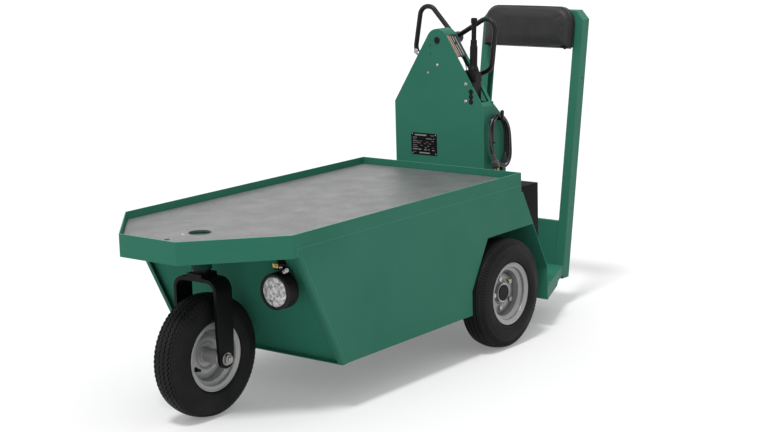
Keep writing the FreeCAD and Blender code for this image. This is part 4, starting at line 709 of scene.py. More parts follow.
front_stem = [(0.0, 0.0088), (0.003, 0.0084), (0.006, 0.0060), (0.016, 0.0055), (0.0165, 0.0049),
              (0.021, 0.0049), (0.0218, 0.0040), (0.0218, 0.0)]
lathed("front_valve", front_stem, on_wheel(0.030, WHEEL_BACK, 0.085, 198.6), ACROSS, black_rubber, 24,
       "front_wheel")
dress(zinc_plate, "rear_hub_left", "rear_hub_right")
cap_profile = [(0.3600, 0.0303), (0.3667, 0.0303), (0.3673, 0.0297), (0.3673, 0.0)]
stem_profile = [(0.0, 0.0070), (0.0025, 0.0070), (0.0028, 0.0042), (0.0115, 0.0040), (0.0118, 0.0047),
                (0.0185, 0.0045), (0.0192, 0.0036), (0.0192, 0.0)]
for side_name, sign in (("left", 1), ("right", -1)):
    wheel_body = "rear_wheel_" + side_name
    lathed("hub_cap_" + side_name, cap_profile, (0, DRIVEN_BACK, AXLE_HEIGHT), (sign, 0, 0), black_rubber,
           64, wheel_body)
    lathed("brass_valve_" + side_name, stem_profile, on_wheel(sign * 0.3480, DRIVEN_BACK, 0.050, 50.0),
           (sign, 0.12, 0.15), brass, 24, wheel_body)

# ------------------------------------------------------------------ running gear and covers
# A tube axle with a cast differential, driven by one motor, hangs under the tray between two
# plates. The battery is one sealed block, and a moulded cover closes the gap behind the deck.
cast_iron = coated("cast_iron", grey(0.030), grey(0.020), grey(0.07), roughness=(0.5, 0.7), specular=0.3)
dress(cast_iron, "rear_axle", "drive_motor")
black_moulding = coated("black_moulding", grey(0.0075), grey(0.0055), grey(0.028), edge_wear_and_highlight=0.6,
                        grain_scale=1300.0, roughness=(0.42, 0.55), specular=0.14)
cover_moulding = coated("cover_moulding", grey(0.0048), grey(0.0040), grey(0.014), edge_wear_and_highlight=0.5,
                        grain_scale=900.0, grain_depth=0.00008, roughness=(0.6, 0.72), specular=0.10)
dress(cover_moulding, "drive_cover", "battery_block")

# ------------------------------------------------------------------ tower
# Green sheet steel, welded from a front plate, sides and sloping top strips with a rear sheet.
# Domed bolts and small plugs dot the front plate; an unlettered data plate is riveted to it.
dress(green_paint, "tower_shell", "tower_back")
dress(black_moulding, "shaft_bushing")
TOWER_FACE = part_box("tower_shell")[0].y
EAVE = (0.2073, 0.8740)
RIDGE = (0.0422, 1.1347)
SLOPE_LENGTH = 0.3086
SLOPE = Vector((RIDGE[0] - EAVE[0], 0.0, RIDGE[1] - EAVE[1])).normalized()
SLOPE_OUT = Vector((SLOPE.z, 0, -SLOPE.x))


def bolt(form, centre, axis, radius, height):
    """Adds a domed screw head with a thin round washer under it."""
    turned(form, [(0.0, radius * 1.32), (height * 0.16, radius * 1.32), (height * 0.20, radius),
                  (height * 0.55, radius * 0.94), (height * 0.85, radius * 0.62), (height, radius * 0.2),
                  (height, 0.0)], centre, axis, 20)


face_bolts = bmesh.new()
for x, z, radius in ((-0.001, 1.021, 0.0046), (-0.046, 0.990, 0.0034), (0.130, 0.955, 0.0052),
                     (0.128, 0.890, 0.0052)):
    bolt(face_bolts, (x, TOWER_FACE, z), FORWARDS, radius, radius * 0.75)
kept("tower_bolts", face_bolts, zinc_plate, smooth=40)
face_plugs = bmesh.new()
for x, z in ((-0.033, 1.095), (-0.032, 1.063)):
    turned(face_plugs, [(0.0, 0.0026), (0.0005, 0.0024), (0.0005, 0.0)], (x, TOWER_FACE, z), FORWARDS, 16)
turned(face_plugs, [(0.0, 0.0128), (0.0012, 0.0128), (0.0022, 0.0118), (0.0022, 0.0)],
       (0.0, TOWER_FACE, 1.115), FORWARDS, 40)
kept("tower_plugs", face_plugs, black_moulding, smooth=40)
GATE_PLACE = (0.152, 0.908)
GATE_PITCH = 0.019
gate_liner = bmesh.new()
for rise in (-GATE_PITCH, 0.0, GATE_PITCH):
    stop = (GATE_PLACE[0], TOWER_FACE, GATE_PLACE[1] + rise)
    turned(gate_liner, [(0.0, 0.0102), (0.0004, 0.0099), (0.0004, 0.0)], stop, FORWARDS, 32)
    turned(gate_liner, [(0.0005, 0.0050), (0.0022, 0.0046), (0.0026, 0.0030), (0.0026, 0.0)],
           stop, FORWARDS, 20)
kept("gate_liner", gate_liner, black_moulding, smooth=40)

plate_black = coated("plate_black", grey(0.0038), grey(0.003), grey(0.03), roughness=(0.36, 0.46),
                     specular=0.10)
plate_pale = coated("plate_pale", grey(0.30), grey(0.22), grey(0.4), roughness=(0.4, 0.5))
PLATE_PLACE = (-0.071, 0.7135)
PLATE_THICK = 0.0009


def on_plate(across, up, out=PLATE_THICK):
    """A spot on the data plate: metres to the left of its middle and above it."""
    return PLATE_PLACE[0] + across, TOWER_FACE - out, PLATE_PLACE[1] + up


data_plate = bmesh.new()
block(data_plate, on_plate(0, 0, 0), ACROSS, UP, FORWARDS, 0.122, 0.085, PLATE_THICK, 0.005)
kept("data_plate", data_plate, plate_black, smooth=30)
plate_rules = bmesh.new()
rule_rows = [(-0.016, 0.034, 0.056, 0.0046), (0.040, 0.034, 0.018, 0.0016), (-0.043, 0.0240, 0.020, 0.0020),
             (0.024, 0.0215, 0.028, 0.0022), (0.047, 0.0220, 0.010, 0.0016),
             (-0.045, 0.0165, 0.015, 0.0014), (-0.040, 0.0095, 0.026, 0.0018),
             (-0.016, 0.0105, 0.014, 0.0012), (0.014, 0.0085, 0.010, 0.0012),
             (0.041, 0.0125, 0.009, 0.0020), (-0.047, 0.0025, 0.012, 0.0014),
             (-0.026, 0.0030, 0.018, 0.0018), (0.004, 0.0015, 0.008, 0.0014),
             (0.028, 0.0020, 0.012, 0.0012), (-0.043, -0.0050, 0.019, 0.0014),
             (-0.012, -0.0060, 0.012, 0.0012), (0.020, -0.0075, 0.009, 0.0016),
             (-0.041, -0.0120, 0.024, 0.0018), (0.008, -0.0145, 0.010, 0.0022),
             (0.042, -0.0130, 0.008, 0.0012), (-0.043, -0.0215, 0.022, 0.0036),
             (-0.021, -0.0215, 0.015, 0.0034), (0.006, -0.0225, 0.012, 0.0030),
             (0.022, -0.0215, 0.008, 0.0026), (0.044, -0.0225, 0.010, 0.0028),
             (-0.045, -0.0320, 0.013, 0.0014), (0.002, -0.0345, 0.050, 0.0042)]
for across, up, length, thick in rule_rows:
    block(plate_rules, on_plate(across, up), ACROSS, UP, FORWARDS, length, thick, 0.0002)
kept("plate_rules", plate_rules, plate_pale)
plate_rivets = bmesh.new()
for across, up in ((0.055, 0.037), (-0.055, 0.037), (-0.055, -0.037), (0.055, -0.037)):
    bolt(plate_rivets, on_plate(across, up), FORWARDS, 0.0019, 0.0012)
kept("plate_rivets", plate_rivets, zinc_plate, smooth=40)

label_grey = coated("label_grey", grey(0.40), grey(0.32), grey(0.5), roughness=(0.36, 0.44), specular=0.4)
label_tan = coated("label_tan", (0.42, 0.22, 0.12, 1), (0.36, 0.19, 0.10, 1), (0.5, 0.3, 0.2, 1),
                   roughness=(0.36, 0.44), specular=0.4)
label_dark = coated("label_dark", grey(0.014), grey(0.010), grey(0.03), roughness=(0.36, 0.44))
BACKWARDS = (0, 1, 0)
LABEL_THICK = 0.0003


def on_slope(share, back):
    """A spot on the tower's left slope: metres down from its top edge and behind the front face."""
    return Vector((EAVE[0], TOWER_FACE + back, EAVE[1])) + SLOPE * (SLOPE_LENGTH - share)


strip = bmesh.new()
block(strip, on_slope(0.047, 0.033), SLOPE, BACKWARDS, SLOPE_OUT, 0.096, 0.060, LABEL_THICK, 0.003)
kept("slope_label", strip, label_dark)
tan_edge = bmesh.new()
block(tan_edge, on_slope(0.047, 0.0085) + SLOPE_OUT * LABEL_THICK,
      SLOPE, BACKWARDS, SLOPE_OUT, 0.092, 0.0105, 0.0001)
kept("slope_label_edge", tan_edge, label_tan)
dashes = bmesh.new()
for back, share, length in ((0.0200, 0.047, 0.084), (0.0335, 0.019, 0.024), (0.0335, 0.066, 0.046),
                            (0.0485, 0.049, 0.078)):
    block(dashes, on_slope(share, back) + SLOPE_OUT * LABEL_THICK,
          SLOPE, BACKWARDS, SLOPE_OUT, length, 0.0050, 0.0001)
kept("slope_label_rules", dashes, label_grey)

# ------------------------------------------------------------------ drive lever
# A round steel lever with a moulded knob and a stepped rubber sleeve, rocking in a black box
# bolted behind the front plate. A rubber gaiter closes the box, and one thin lead runs to it.
dress(black_moulding, "lever_housing")
shroud = bmesh.new()
shroud_view = [(0.1085, 0.9625), (0.1660, 0.9625), (0.1660, 0.9880), (0.1520, 1.0035), (0.1085, 1.0035)]
shroud_front, shroud_back = [[(x, TOWER_FACE + back, z) for x, z in shroud_view]
                             for back in (0.0150, 0.0522)]
prism(shroud, shroud_front, shroud_back)
kept("lever_shroud", shroud, black_moulding, smooth=30)
lever_low, lever_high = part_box("drive_lever")
LEVER_FOOT = Vector(((lever_low.x + lever_high.x) / 2, TOWER_FACE + 0.0397, 0.984))
LEVER_LEAN = math.radians(3.0)
LEVER_AXIS = Vector((0, math.sin(LEVER_LEAN), math.cos(LEVER_LEAN)))
sleeve_profile = [(-0.014, 0.0), (-0.014, 0.0085), (-0.0085, 0.0085), (-0.008, 0.0134), (0.000, 0.0142),
                  (0.060, 0.0145), (0.1085, 0.0145), (0.1105, 0.0138), (0.1112, 0.0128), (0.1120, 0.0125),
                  (0.1310, 0.0123), (0.1328, 0.0108), (0.1332, 0.0092)]
knob_profile = [(0.1930, 0.0091), (0.1950, 0.0112), (0.1965, 0.0120), (0.2105, 0.0121), (0.2140, 0.0111),
                (0.2156, 0.0088), (0.2160, 0.0)]
pivot_profile = [(-0.0265, 0.0), (-0.0265, 0.0034), (-0.0260, 0.0037), (0.0260, 0.0037), (0.0265, 0.0034),
                 (0.0265, 0.0)]
lever = bmesh.new()
turned(lever, sleeve_profile + knob_profile, LEVER_FOOT, LEVER_AXIS, 32)
turned(lever, pivot_profile, LEVER_FOOT, ACROSS, 20)
drive_stick = kept("drive_stick", lever, black_moulding, smooth=35)
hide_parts("drive_lever")
gaiter = bmesh.new()
folds = [(0.010, 0.0255), (0.013, 0.0262)]
for fold in range(5):
    folds += [(0.0155 + 0.0052 * fold, 0.0238 - 0.0020 * fold),
              (0.0180 + 0.0052 * fold, 0.0205 - 0.0016 * fold)]
folds += [(0.0420, 0.0152), (0.0420, 0.0146), (0.010, 0.0146)]
closed_ring(gaiter, folds, LEVER_FOOT, LEVER_AXIS, 40)
kept("lever_gaiter", gaiter, black_rubber, smooth=25)


ODD_WAY = Vector((0.31, 0.17, 0.93))


def swept(form, spots, radius, sides=8):
    """Adds a round closed-ended tube through a list of points, none of them along ODD_WAY."""
    rings = []
    for index, spot in enumerate(spots):
        heading = (spots[min(index + 1, len(spots) - 1)] - spots[max(index - 1, 0)]).normalized()
        side = ODD_WAY.cross(heading).normalized()
        other = heading.cross(side)
        rings.append(hoop(form, spot, side, other, radius, sides))
    walled(form, rings)
    form.faces.new(rings[0])
    form.faces.new(rings[-1])


def smooth_line(corners, steps=10):
    """Points of a soft line that leaves the first corner and ends at the last one."""
    spots = []
    first = [corners[0]] + list(corners) + [corners[-1]]
    for before, near, far, after in zip(first, first[1:], first[2:], first[3:]):
        before, near, far, after = Vector(before), Vector(near), Vector(far), Vector(after)
        for step in range(steps):
            share = step / steps
            bow = (2 * before - 5 * near + 4 * far - after) * share ** 2
            twist = (3 * near - before - 3 * far + after) * share ** 3
            spots.append(0.5 * (2 * near + (far - before) * share + bow + twist))
    return spots + [Vector(corners[-1])]


lead_corners = [(0.080, TOWER_FACE + 0.030, 1.062), (0.094, TOWER_FACE + 0.032, 1.048),
                (0.104, TOWER_FACE + 0.036, 1.026), (0.108, TOWER_FACE + 0.038, 1.004),
                (0.116, TOWER_FACE + 0.038, 0.9900)]
thin_lead = bmesh.new()
swept(thin_lead, smooth_line(lead_corners), 0.0016)
kept("thin_lead", thin_lead, label_dark, smooth=60)

# ------------------------------------------------------------------ key switch
# A round zinc-plated lock with its key, screwed through the tower's right-hand slope.
dress(zinc_plate, "key_switch")
switch_low, switch_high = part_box("key_switch")
SWITCH_OUT = Vector((-SLOPE_OUT.x, 0, SLOPE_OUT.z))
SWITCH_ALONG = Vector((-SLOPE.x, 0, SLOPE.z))
switch_face = (switch_low + switch_high) / 2 + SWITCH_OUT * 0.0080
KEY_NECK = 0.0070
key = bmesh.new()
block(key, switch_face, SWITCH_ALONG, BACKWARDS, SWITCH_OUT, 0.0075, 0.0022, KEY_NECK)
block(key, switch_face + SWITCH_OUT * KEY_NECK, SWITCH_ALONG, BACKWARDS, SWITCH_OUT, 0.0180, 0.0026, 0.0140)
kept("switch_key", key, zinc_plate, smooth=30)

# ------------------------------------------------------------------ steering yoke
# Two loops of bent steel tube welded to a hub, in black plastic coating. The hub is clamped on
# the steering shaft's rear end by one nut.
yoke_coat = coated("yoke_coat", grey(0.0070), grey(0.0055), grey(0.02), edge_wear_and_highlight=0.3, grain_scale=1300.0,
                   grain_depth=0.00005, roughness=(0.34, 0.42), specular=0.26)
dress(yoke_coat, "yoke")
dress(black_enamel, "steering_shaft")

# ------------------------------------------------------------------ driver's platform
# A folded green step with a kick panel, a leaning backrest frame welded on and two pedals
# hinged to the bulkhead. The pedals have moulded rubber treads.
dress(green_paint, "step_platform", "kick_panel")
# The frame's folds are rounded in the light over a wide radius and painted lighter along them: a painted
# highlight.
folded_paint = coated("folded_paint", GREEN, GREEN_SHADE, GREEN_HIGHLIGHT, edge_wear_and_highlight=0.35, edge_radius=0.006,
                      roughness=(0.46, 0.56), specular=0.18)
dress(folded_paint, "backrest_frame")
dress(black_enamel, "foot_pedals")
pedal_low, pedal_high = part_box("foot_pedals")
PEDAL_SIDE = 0.0950
TREAD_ROWS = 5
PEDAL_RISE = (0, 0.900, 0.435)
PEDAL_OUT = (0, -0.435, 0.900)
treads = bmesh.new()
for sign in (1, -1):
    for row in range(TREAD_ROWS):
        share = (row + 0.5) / TREAD_ROWS
        spot = Vector((sign * PEDAL_SIDE, pedal_high.y - 0.0602 + 0.056 * share,
                       pedal_low.z + 0.0045 + 0.0272 * share))
        block(treads, spot, ACROSS, PEDAL_RISE, PEDAL_OUT, 0.080, 0.0062, 0.0022)
kept("pedal_treads", treads, black_rubber)
FRAME_SIDE = 0.240
frame_dots = bmesh.new()
for back, up in ((1.0711, 0.913), (0.9831, 0.397)):
    for sign in (1, -1):
        turned(frame_dots, [(0.0, 0.0036), (0.0005, 0.0033), (0.0005, 0.0)], (sign * FRAME_SIDE, back, up),
               (sign, 0, 0), 16)
kept("frame_plugs", frame_dots, black_moulding, smooth=40)

# ------------------------------------------------------------------ backrest pad
# A foam pad on a board, covered in grained black vinyl: a front panel sewn to a narrower band
# round its edge. It is screwed to the frame's head by two black angle feet under its ends.
pad_cover = coated("pad_cover", grey(0.0155), grey(0.0115), grey(0.05), edge_wear_and_highlight=0.0, grain_scale=260.0,
                   grain_depth=0.0013, roughness=(0.44, 0.56), specular=0.36, patch_scale=14.0)
PAD_LEAN = math.radians(9.25)
PAD_UP = Vector((0, math.sin(PAD_LEAN), math.cos(PAD_LEAN)))
PAD_AHEAD = Vector((0, -math.cos(PAD_LEAN), math.sin(PAD_LEAN)))
pad_low, pad_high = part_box("backrest_pad")
PAD_THICK = 0.067
PAD_HALF_HIGH = 0.080
PAD_SHOULDER = 0.062
PAD_FOOT_SIDE = 0.182
PAD_MIDDLE = (pad_low + pad_high) / 2 - PAD_AHEAD * (PAD_THICK / 2)


def pad_outline(inset, depth, upper, lower):
    """The pad's rounded outline at one depth ahead of its board."""
    half_across, half_high = pad_high.x - inset, PAD_HALF_HIGH - inset
    spots = []
    for side_x, side_z, radius, first in ((1, 1, upper, 0), (-1, 1, upper, 90), (-1, -1, lower, 180),
                                          (1, -1, lower, 270)):
        for step in range(9):
            angle = math.radians(first + 11.25 * step)
            x = side_x * (half_across - radius) + radius * math.cos(angle)
            z = side_z * (half_high - radius) + radius * math.sin(angle)
            spots.append(PAD_MIDDLE + Vector(ACROSS) * x + PAD_UP * z + PAD_AHEAD * depth)
    return spots


pad_form = bmesh.new()
pad_layers = [(-0.0018, 0.0002), (-0.0020, 0.010), (-0.0020, 0.024), (-0.0008, 0.040), (0.0048, 0.0490),
              (0.0100, 0.0560), (0.0175, 0.0600), (0.0270, 0.0615)]
pad_rings = []
for inset, depth in pad_layers:
    outline = pad_outline(inset, depth, max(PAD_SHOULDER - inset, 0.030), 0.007)
    pad_rings.append([pad_form.verts.new(spot) for spot in outline])
walled(pad_form, pad_rings)
pad_form.faces.new(pad_rings[0])
pad_form.faces.new(pad_rings[-1])
rest_pad = kept("rest_pad", pad_form, pad_cover)
applied(rest_pad, "REMESH", mode="VOXEL", voxel_size=0.0055)
PAD_HELD = 0.046
PAD_CAP = 0.0055
PAD_FRAMES = 20
start = [vert.co.copy() for vert in rest_pad.data.vertices]
held = rest_pad.vertex_groups.new(name="on_board")
held.add([index for index, spot in enumerate(start) if (spot - PAD_MIDDLE).dot(PAD_AHEAD) < PAD_HELD],
         1.0, "REPLACE")
cloth = rest_pad.modifiers.new("stuffing", "CLOTH")
cloth.settings.use_pressure = True
cloth.settings.uniform_pressure_force = 4.0
cloth.settings.effector_weights.gravity = 0.0
cloth.settings.vertex_group_mass = "on_board"
for count in range(1, PAD_FRAMES + 1):
    scene.frame_set(count)
swollen = bpy.data.meshes.new_from_object(rest_pad.evaluated_get(bpy.context.evaluated_depsgraph_get()))
rest_pad.modifiers.clear()
for vert, spot in zip(swollen.vertices, start):
    swell = (vert.co - spot).dot(PAD_AHEAD)
    vert.co = spot + PAD_AHEAD * min(max(swell, -0.001), PAD_CAP)
rest_pad.data = swollen
scene.frame_set(1)
rest_pad.vertex_groups.clear()
applied(rest_pad, "SUBSURF", levels=1, render_levels=1)
rest_pad.data.shade_smooth()
skin = BVHTree.FromObject(rest_pad, bpy.context.evaluated_depsgraph_get())
pad_seams = bmesh.new()
for inset, depth, thick in ((-0.004, 0.0440, 0.0017), (-0.004, 0.0130, 0.0014)):
    line = pad_outline(inset, depth, 0.060, 0.012)
    line = smooth_line(line + line[:1], 3)
    nearest = [skin.find_nearest(spot)[:2] for spot in line[:-1]]
    spots = [place + outward * 0.0004 for place, outward in nearest]
    rings = []
    for index, spot in enumerate(spots):
        heading = (spots[(index + 1) % len(spots)] - spots[index - 1]).normalized()
        side = PAD_AHEAD.cross(heading).normalized()
        other = heading.cross(side)
        rings.append(hoop(pad_seams, spot, side, other, thick, 8))
    walled(pad_seams, rings + rings[:1])
kept("pad_seams", pad_seams, pad_cover, smooth=60)
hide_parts("backrest_pad")
pad_feet = bmesh.new()
for sign in (1, -1):
    foot = PAD_MIDDLE + Vector((sign * PAD_FOOT_SIDE, 0, 0)) - PAD_UP * (PAD_HALF_HIGH + 0.0042)
    block(pad_feet, foot + PAD_AHEAD * 0.024, ACROSS, PAD_AHEAD, PAD_UP, 0.030, 0.046, 0.0040, 0.004)
    bolt(pad_feet, foot + PAD_AHEAD * 0.030, -PAD_UP, 0.006, 0.0045)
kept("pad_feet", pad_feet, black_enamel, smooth=35)

# ------------------------------------------------------------------ headlamp
# A round lamp in a moulded rubber can with a clamping ring round its patterned glass. A stud
# on top goes through an angle bracket on the nose, with nuts and a brass terminal beside it.
dress(black_enamel, "headlamp_bracket")
dress(black_moulding, "headlamp_housing")
can_low, can_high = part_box("headlamp_housing")
glass_low, glass_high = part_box("headlamp_lens")
LAMP_MIDDLE = Vector(((glass_low.x + glass_high.x) / 2, can_low.y, (glass_low.z + glass_high.z) / 2))
LAMP_GRIPS = 36
GRIP_OUT = 0.0588
GRIP_BACK = 0.030
lip_profile = [(0.0004, 0.0500), (-0.0024, 0.0506), (-0.0034, 0.0530), (-0.0034, 0.0566), (-0.0022, 0.0588),
               (0.0004, 0.0596), (0.0080, 0.0598), (0.0086, 0.0592)]
lamp_ring = bmesh.new()
closed_ring(lamp_ring, lip_profile, LAMP_MIDDLE, BACKWARDS, 96)
for index in range(LAMP_GRIPS):
    angle = 2 * math.pi * index / LAMP_GRIPS
    out = Vector((math.cos(angle), 0, math.sin(angle)))
    grip = LAMP_MIDDLE + out * GRIP_OUT + Vector((0, GRIP_BACK, 0))
    block(lamp_ring, grip, BACKWARDS, out.cross(Vector(BACKWARDS)), out, 0.034, 0.0036, 0.0012)
kept("headlamp_ring", lamp_ring, black_rubber, smooth=35)
lamp_glass = bpy.data.materials.new("lamp_glass")
lamp_glass.use_nodes = True
glass_tree = lamp_glass.node_tree
glass_shader = glass_tree.nodes["Principled BSDF"]
# The glass is coloured in mottled greys from near black to white: painted reflections of its faceted
# pattern, not its own colour.
glass_place = put(glass_tree, "TexCoord").outputs["Object"]
facets = put(glass_tree, "TexVoronoi", {"voronoi_dimensions": "3D"}, Vector=glass_place, Scale=120.0,
             Randomness=0.8)
facet_painted_reflection = put(glass_tree, "RGBToBW", inputs=[facets.outputs["Color"]])
banding = put(glass_tree, "TexNoise", Vector=glass_place, Scale=60.0, Detail=2.0, Roughness=0.6)
painted_reflection_mix = put(glass_tree, "Math", {"operation": "ADD"}, [facet_painted_reflection.outputs[0], banding.outputs["Fac"]])
painted_reflection_share = put(glass_tree, "MapRange", inputs=[painted_reflection_mix.outputs[0], 0.70, 1.35, 0.16, 0.74])
glass_tree.links.new(mix_colour(glass_tree, painted_reflection_share.outputs[0], grey(0.05), (1.0, 1.0, 0.99, 1)),
                     glass_shader.inputs["Base Color"])
glass_bump = put(glass_tree, "Bump", Height=facets.outputs["Distance"], Distance=0.0008)
glass_tree.links.new(glass_bump.outputs[0], glass_shader.inputs["Normal"])
glass_shader.inputs["Roughness"].default_value = 0.16
glass_shader.inputs["Coat Weight"].default_value = 0.6
lens_profile = [(0.0062, 0.0), (0.0062, 0.0495), (0.0010, 0.0495), (-0.0006, 0.0470), (-0.0018, 0.0380),
                (-0.0026, 0.0260), (-0.0030, 0.0130), (-0.0031, 0.0)]
lens_dome = lathed("lens_dome", lens_profile, LAMP_MIDDLE, BACKWARDS, lamp_glass, 72, smooth=40)
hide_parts("headlamp_lens")
bracket_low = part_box("headlamp_bracket")[0]
STUD = Vector((LAMP_MIDDLE.x, can_low.y + 0.034, bracket_low.z))
HEXAGON = 6
SIDE_SCREW = (0.85, -0.52, 0)
lamp_nuts = bmesh.new()
turned(lamp_nuts, [(0.0043, 0.0052), (0.0043, 0.0100), (0.0098, 0.0100), (0.0104, 0.0092),
                   (0.0104, 0.0052)], STUD, UP, HEXAGON)
turned(lamp_nuts, [(0.0, 0.0), (0.0, 0.0076), (0.0058, 0.0076), (0.0064, 0.0068), (0.0064, 0.0036),
                   (0.0120, 0.0034), (0.0124, 0.0)],
       (LAMP_MIDDLE.x + 0.0162, STUD.y - 0.004, STUD.z - 0.0040), SIDE_SCREW, HEXAGON)
turned(lamp_nuts, [(0.0, 0.0), (0.0, 0.0082), (0.0062, 0.0082), (0.0068, 0.0074), (0.0068, 0.0040),
                   (0.0100, 0.0038), (0.0104, 0.0)],
       (LAMP_MIDDLE.x + 0.0330, STUD.y - 0.012, STUD.z + 0.0040), SIDE_SCREW, HEXAGON)
kept("lamp_nuts", lamp_nuts, zinc_plate, smooth=25)
terminal_x, terminal_z = LAMP_MIDDLE.x - 0.0060, bracket_low.z + 0.0140
terminal = bmesh.new()
block(terminal, (terminal_x, bracket_low.y - 0.0002, terminal_z), ACROSS, UP, FORWARDS, 0.022, 0.013,
      0.0040, 0.002)
turned(terminal, [(0.0, 0.0046), (0.0040, 0.0046), (0.0046, 0.0036), (0.0046, 0.0)],
       (terminal_x, bracket_low.y - 0.0040, terminal_z), FORWARDS, HEXAGON)
kept("lamp_terminal", terminal, brass, smooth=25)
lead_corners = [(LAMP_MIDDLE.x + 0.006, bracket_low.y - 0.004, bracket_low.z + 0.016),
                (LAMP_MIDDLE.x + 0.022, bracket_low.y - 0.006, bracket_low.z + 0.022),
                (LAMP_MIDDLE.x + 0.034, bracket_low.y + 0.010, bracket_low.z + 0.014),
                (LAMP_MIDDLE.x + 0.030, can_high.y - 0.004, can_high.z - 0.030)]
lamp_lead = bmesh.new()
swept(lamp_lead, smooth_line(lead_corners), 0.0019)
kept("lamp_lead", lamp_lead, label_dark, smooth=60)

# ------------------------------------------------------------------ charging lead
# Just under two metres of black rubber mains flex for the on-board charger. It leaves the tower
# by an angled gland, hangs in three and a half loose turns from a bent rod hook, tied together at
# their front side, and ends in a moulded plug with two flat blades and a ground pin.
FLEX_THICK = 0.0085
COIL_TURNS = 3.53
POINTS_PER_TURN = 20
COIL_START = -52.0
HOOK_ANGLE = 90.0
TURN_END_RADIUS = 0.052
TURN_STRAIGHT = 0.038
TURN_LEAN = 0.018
TURN_PINCH = 6.2
TURN_STEP = 0.0087
ROLL_ANGLE = 120.0
ROLL_OUT = 0.0088
ROLL_UP = 0.0089
LAST_IN = 0.0095
LAST_UP = 0.005
TURN_SAG = 0.0022
COIL_SHIFT = (0.0084, 0.0033)
coil_low, coil_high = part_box("cord_coil")
coil_middle = (coil_low + coil_high) / 2
dress(black_enamel, "cord_hook")
dress(black_moulding, "cord_gland")
flex_rubber = coated("flex_rubber", grey(0.0045), grey(0.0035), grey(0.02), edge_wear_and_highlight=0.0,
                     grain_scale=1500.0, grain_depth=0.00002, roughness=(0.22, 0.28), specular=0.5)


def turn_line(angle):
    """The oval that every turn follows, as backwards and up from its middle."""
    along = angle / 360.0 % 1.0 * (2 * math.pi * TURN_END_RADIUS + 4 * TURN_STRAIGHT)
    half_end = math.pi * TURN_END_RADIUS
    swing = min(max(along - TURN_STRAIGHT, 0.0), half_end)
    swing += min(max(along - 3 * TURN_STRAIGHT - half_end, 0.0), half_end)
    up = min(along, TURN_STRAIGHT) - min(max(along - TURN_STRAIGHT - half_end, 0.0), 2 * TURN_STRAIGHT)
    up += max(along - 3 * TURN_STRAIGHT - 2 * half_end, 0.0)
    swing /= TURN_END_RADIUS
    back = TURN_END_RADIUS * math.cos(swing)
    up += TURN_END_RADIUS * math.sin(swing)
    back *= 1 - TURN_PINCH * up ** 2
    return back, up - TURN_LEAN * back / TURN_END_RADIUS


def turn_point(turn):
    """One point of the wound flex: the turns step outwards, and the last rolls onto the others."""
    angle = COIL_START + 360.0 * turn
    past_hook = turn - (HOOK_ANGLE - COIL_START) / 360.0
    roll = math.radians(ROLL_ANGLE * min(max(past_hook - 2.0, 0.0), 1.0))
    out = TURN_STEP * min(past_hook, 2.0)
    rise = 0.0
    if past_hook > 2.0:
        out = ROLL_OUT * (1 + min(past_hook - 2.0, 1.0)) + ROLL_OUT * math.cos(roll)
        rise = ROLL_UP * math.sin(roll)
    if past_hook > 3.0:
        out -= LAST_IN * (past_hook - 3.0)
        rise += LAST_UP * (past_hook - 3.0)
    rise += TURN_SAG * past_hook * (1 - math.cos(math.radians(angle - HOOK_ANGLE))) / 2
    back, up = turn_line(angle)
    back_before, up_before = turn_line(angle - 4.0)
    back_after, up_after = turn_line(angle + 4.0)
    heading = math.hypot(back_after - back_before, up_after - up_before)
    back += rise * (up_after - up_before) / heading
    up -= rise * (back_after - back_before) / heading
    return out - COIL_SHIFT[0], back, up - COIL_SHIFT[1]


lead_in = [(-0.0025, 0.014, -0.134), (-0.0026, 0.014, -0.126), (-0.0044, 0.015, -0.1165),
           (-0.0086, 0.0192, -0.108), (-0.0122, 0.027, -0.1005)]
lead_out = [(0.004, -0.071, 0.052), (0.009, -0.077, 0.037), (0.015, -0.0825, 0.021),
            (0.020, -0.0885, 0.006), (0.0235, -0.092, -0.010), (0.0245, -0.091, -0.025),
            (0.0245, -0.087, -0.038), (0.0245, -0.083, -0.048)]
turn_steps = round(COIL_TURNS * POINTS_PER_TURN)
wound = [turn_point(COIL_TURNS * step / turn_steps) for step in range(1, turn_steps + 1)]
flex_route = [coil_middle + Vector(point) for point in lead_in + wound + lead_out]
flex_curve = bpy.data.curves.new("charging_lead", "CURVE")
flex_curve.dimensions = "3D"
flex_line = flex_curve.splines.new("NURBS")
flex_line.points.add(len(flex_route) - 1)
for flex_spot, place in zip(flex_line.points, flex_route):
    flex_spot.co = (*place, 1)
flex_line.order_u = 3
flex_line.use_endpoint_u = True
flex_line.resolution_u = 3
flex_curve.bevel_depth = FLEX_THICK / 2
flex_curve.bevel_resolution = 4
flex_curve.materials.append(flex_rubber)
charging_lead = bpy.data.objects.new("charging_lead", flex_curve)
scene.collection.objects.link(charging_lead)
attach(charging_lead, "chassis")
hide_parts("cord_coil", "cord_lead_tower", "cord_lead_plug")

plug_rubber = coated("plug_rubber", grey(0.050), grey(0.036), grey(0.14), edge_wear_and_highlight=0.8, grain_scale=1300.0,
                     roughness=(0.34, 0.44), specular=0.6)
PLUG_LEAN = math.radians(27.0)
PLUG_AXIS = Vector((0, math.sin(PLUG_LEAN), -math.cos(PLUG_LEAN)))
PLUG_SIDE = Vector((0, math.cos(PLUG_LEAN), math.sin(PLUG_LEAN)))
plug_top = coil_middle + Vector((0.0245, -0.085, -0.043))
plug_profile = [(0.0004, 0.0), (0.0004, 0.0055), (0.0016, 0.0061)]
for rib in range(6):
    plug_profile += [(0.0030 + 0.0042 * rib, 0.0063 + 0.0006 * rib),
                     (0.0034 + 0.0042 * rib, 0.0054 + 0.0005 * rib),
                     (0.0050 + 0.0042 * rib, 0.0054 + 0.0005 * rib),
                     (0.0054 + 0.0042 * rib, 0.0066 + 0.0006 * rib)]
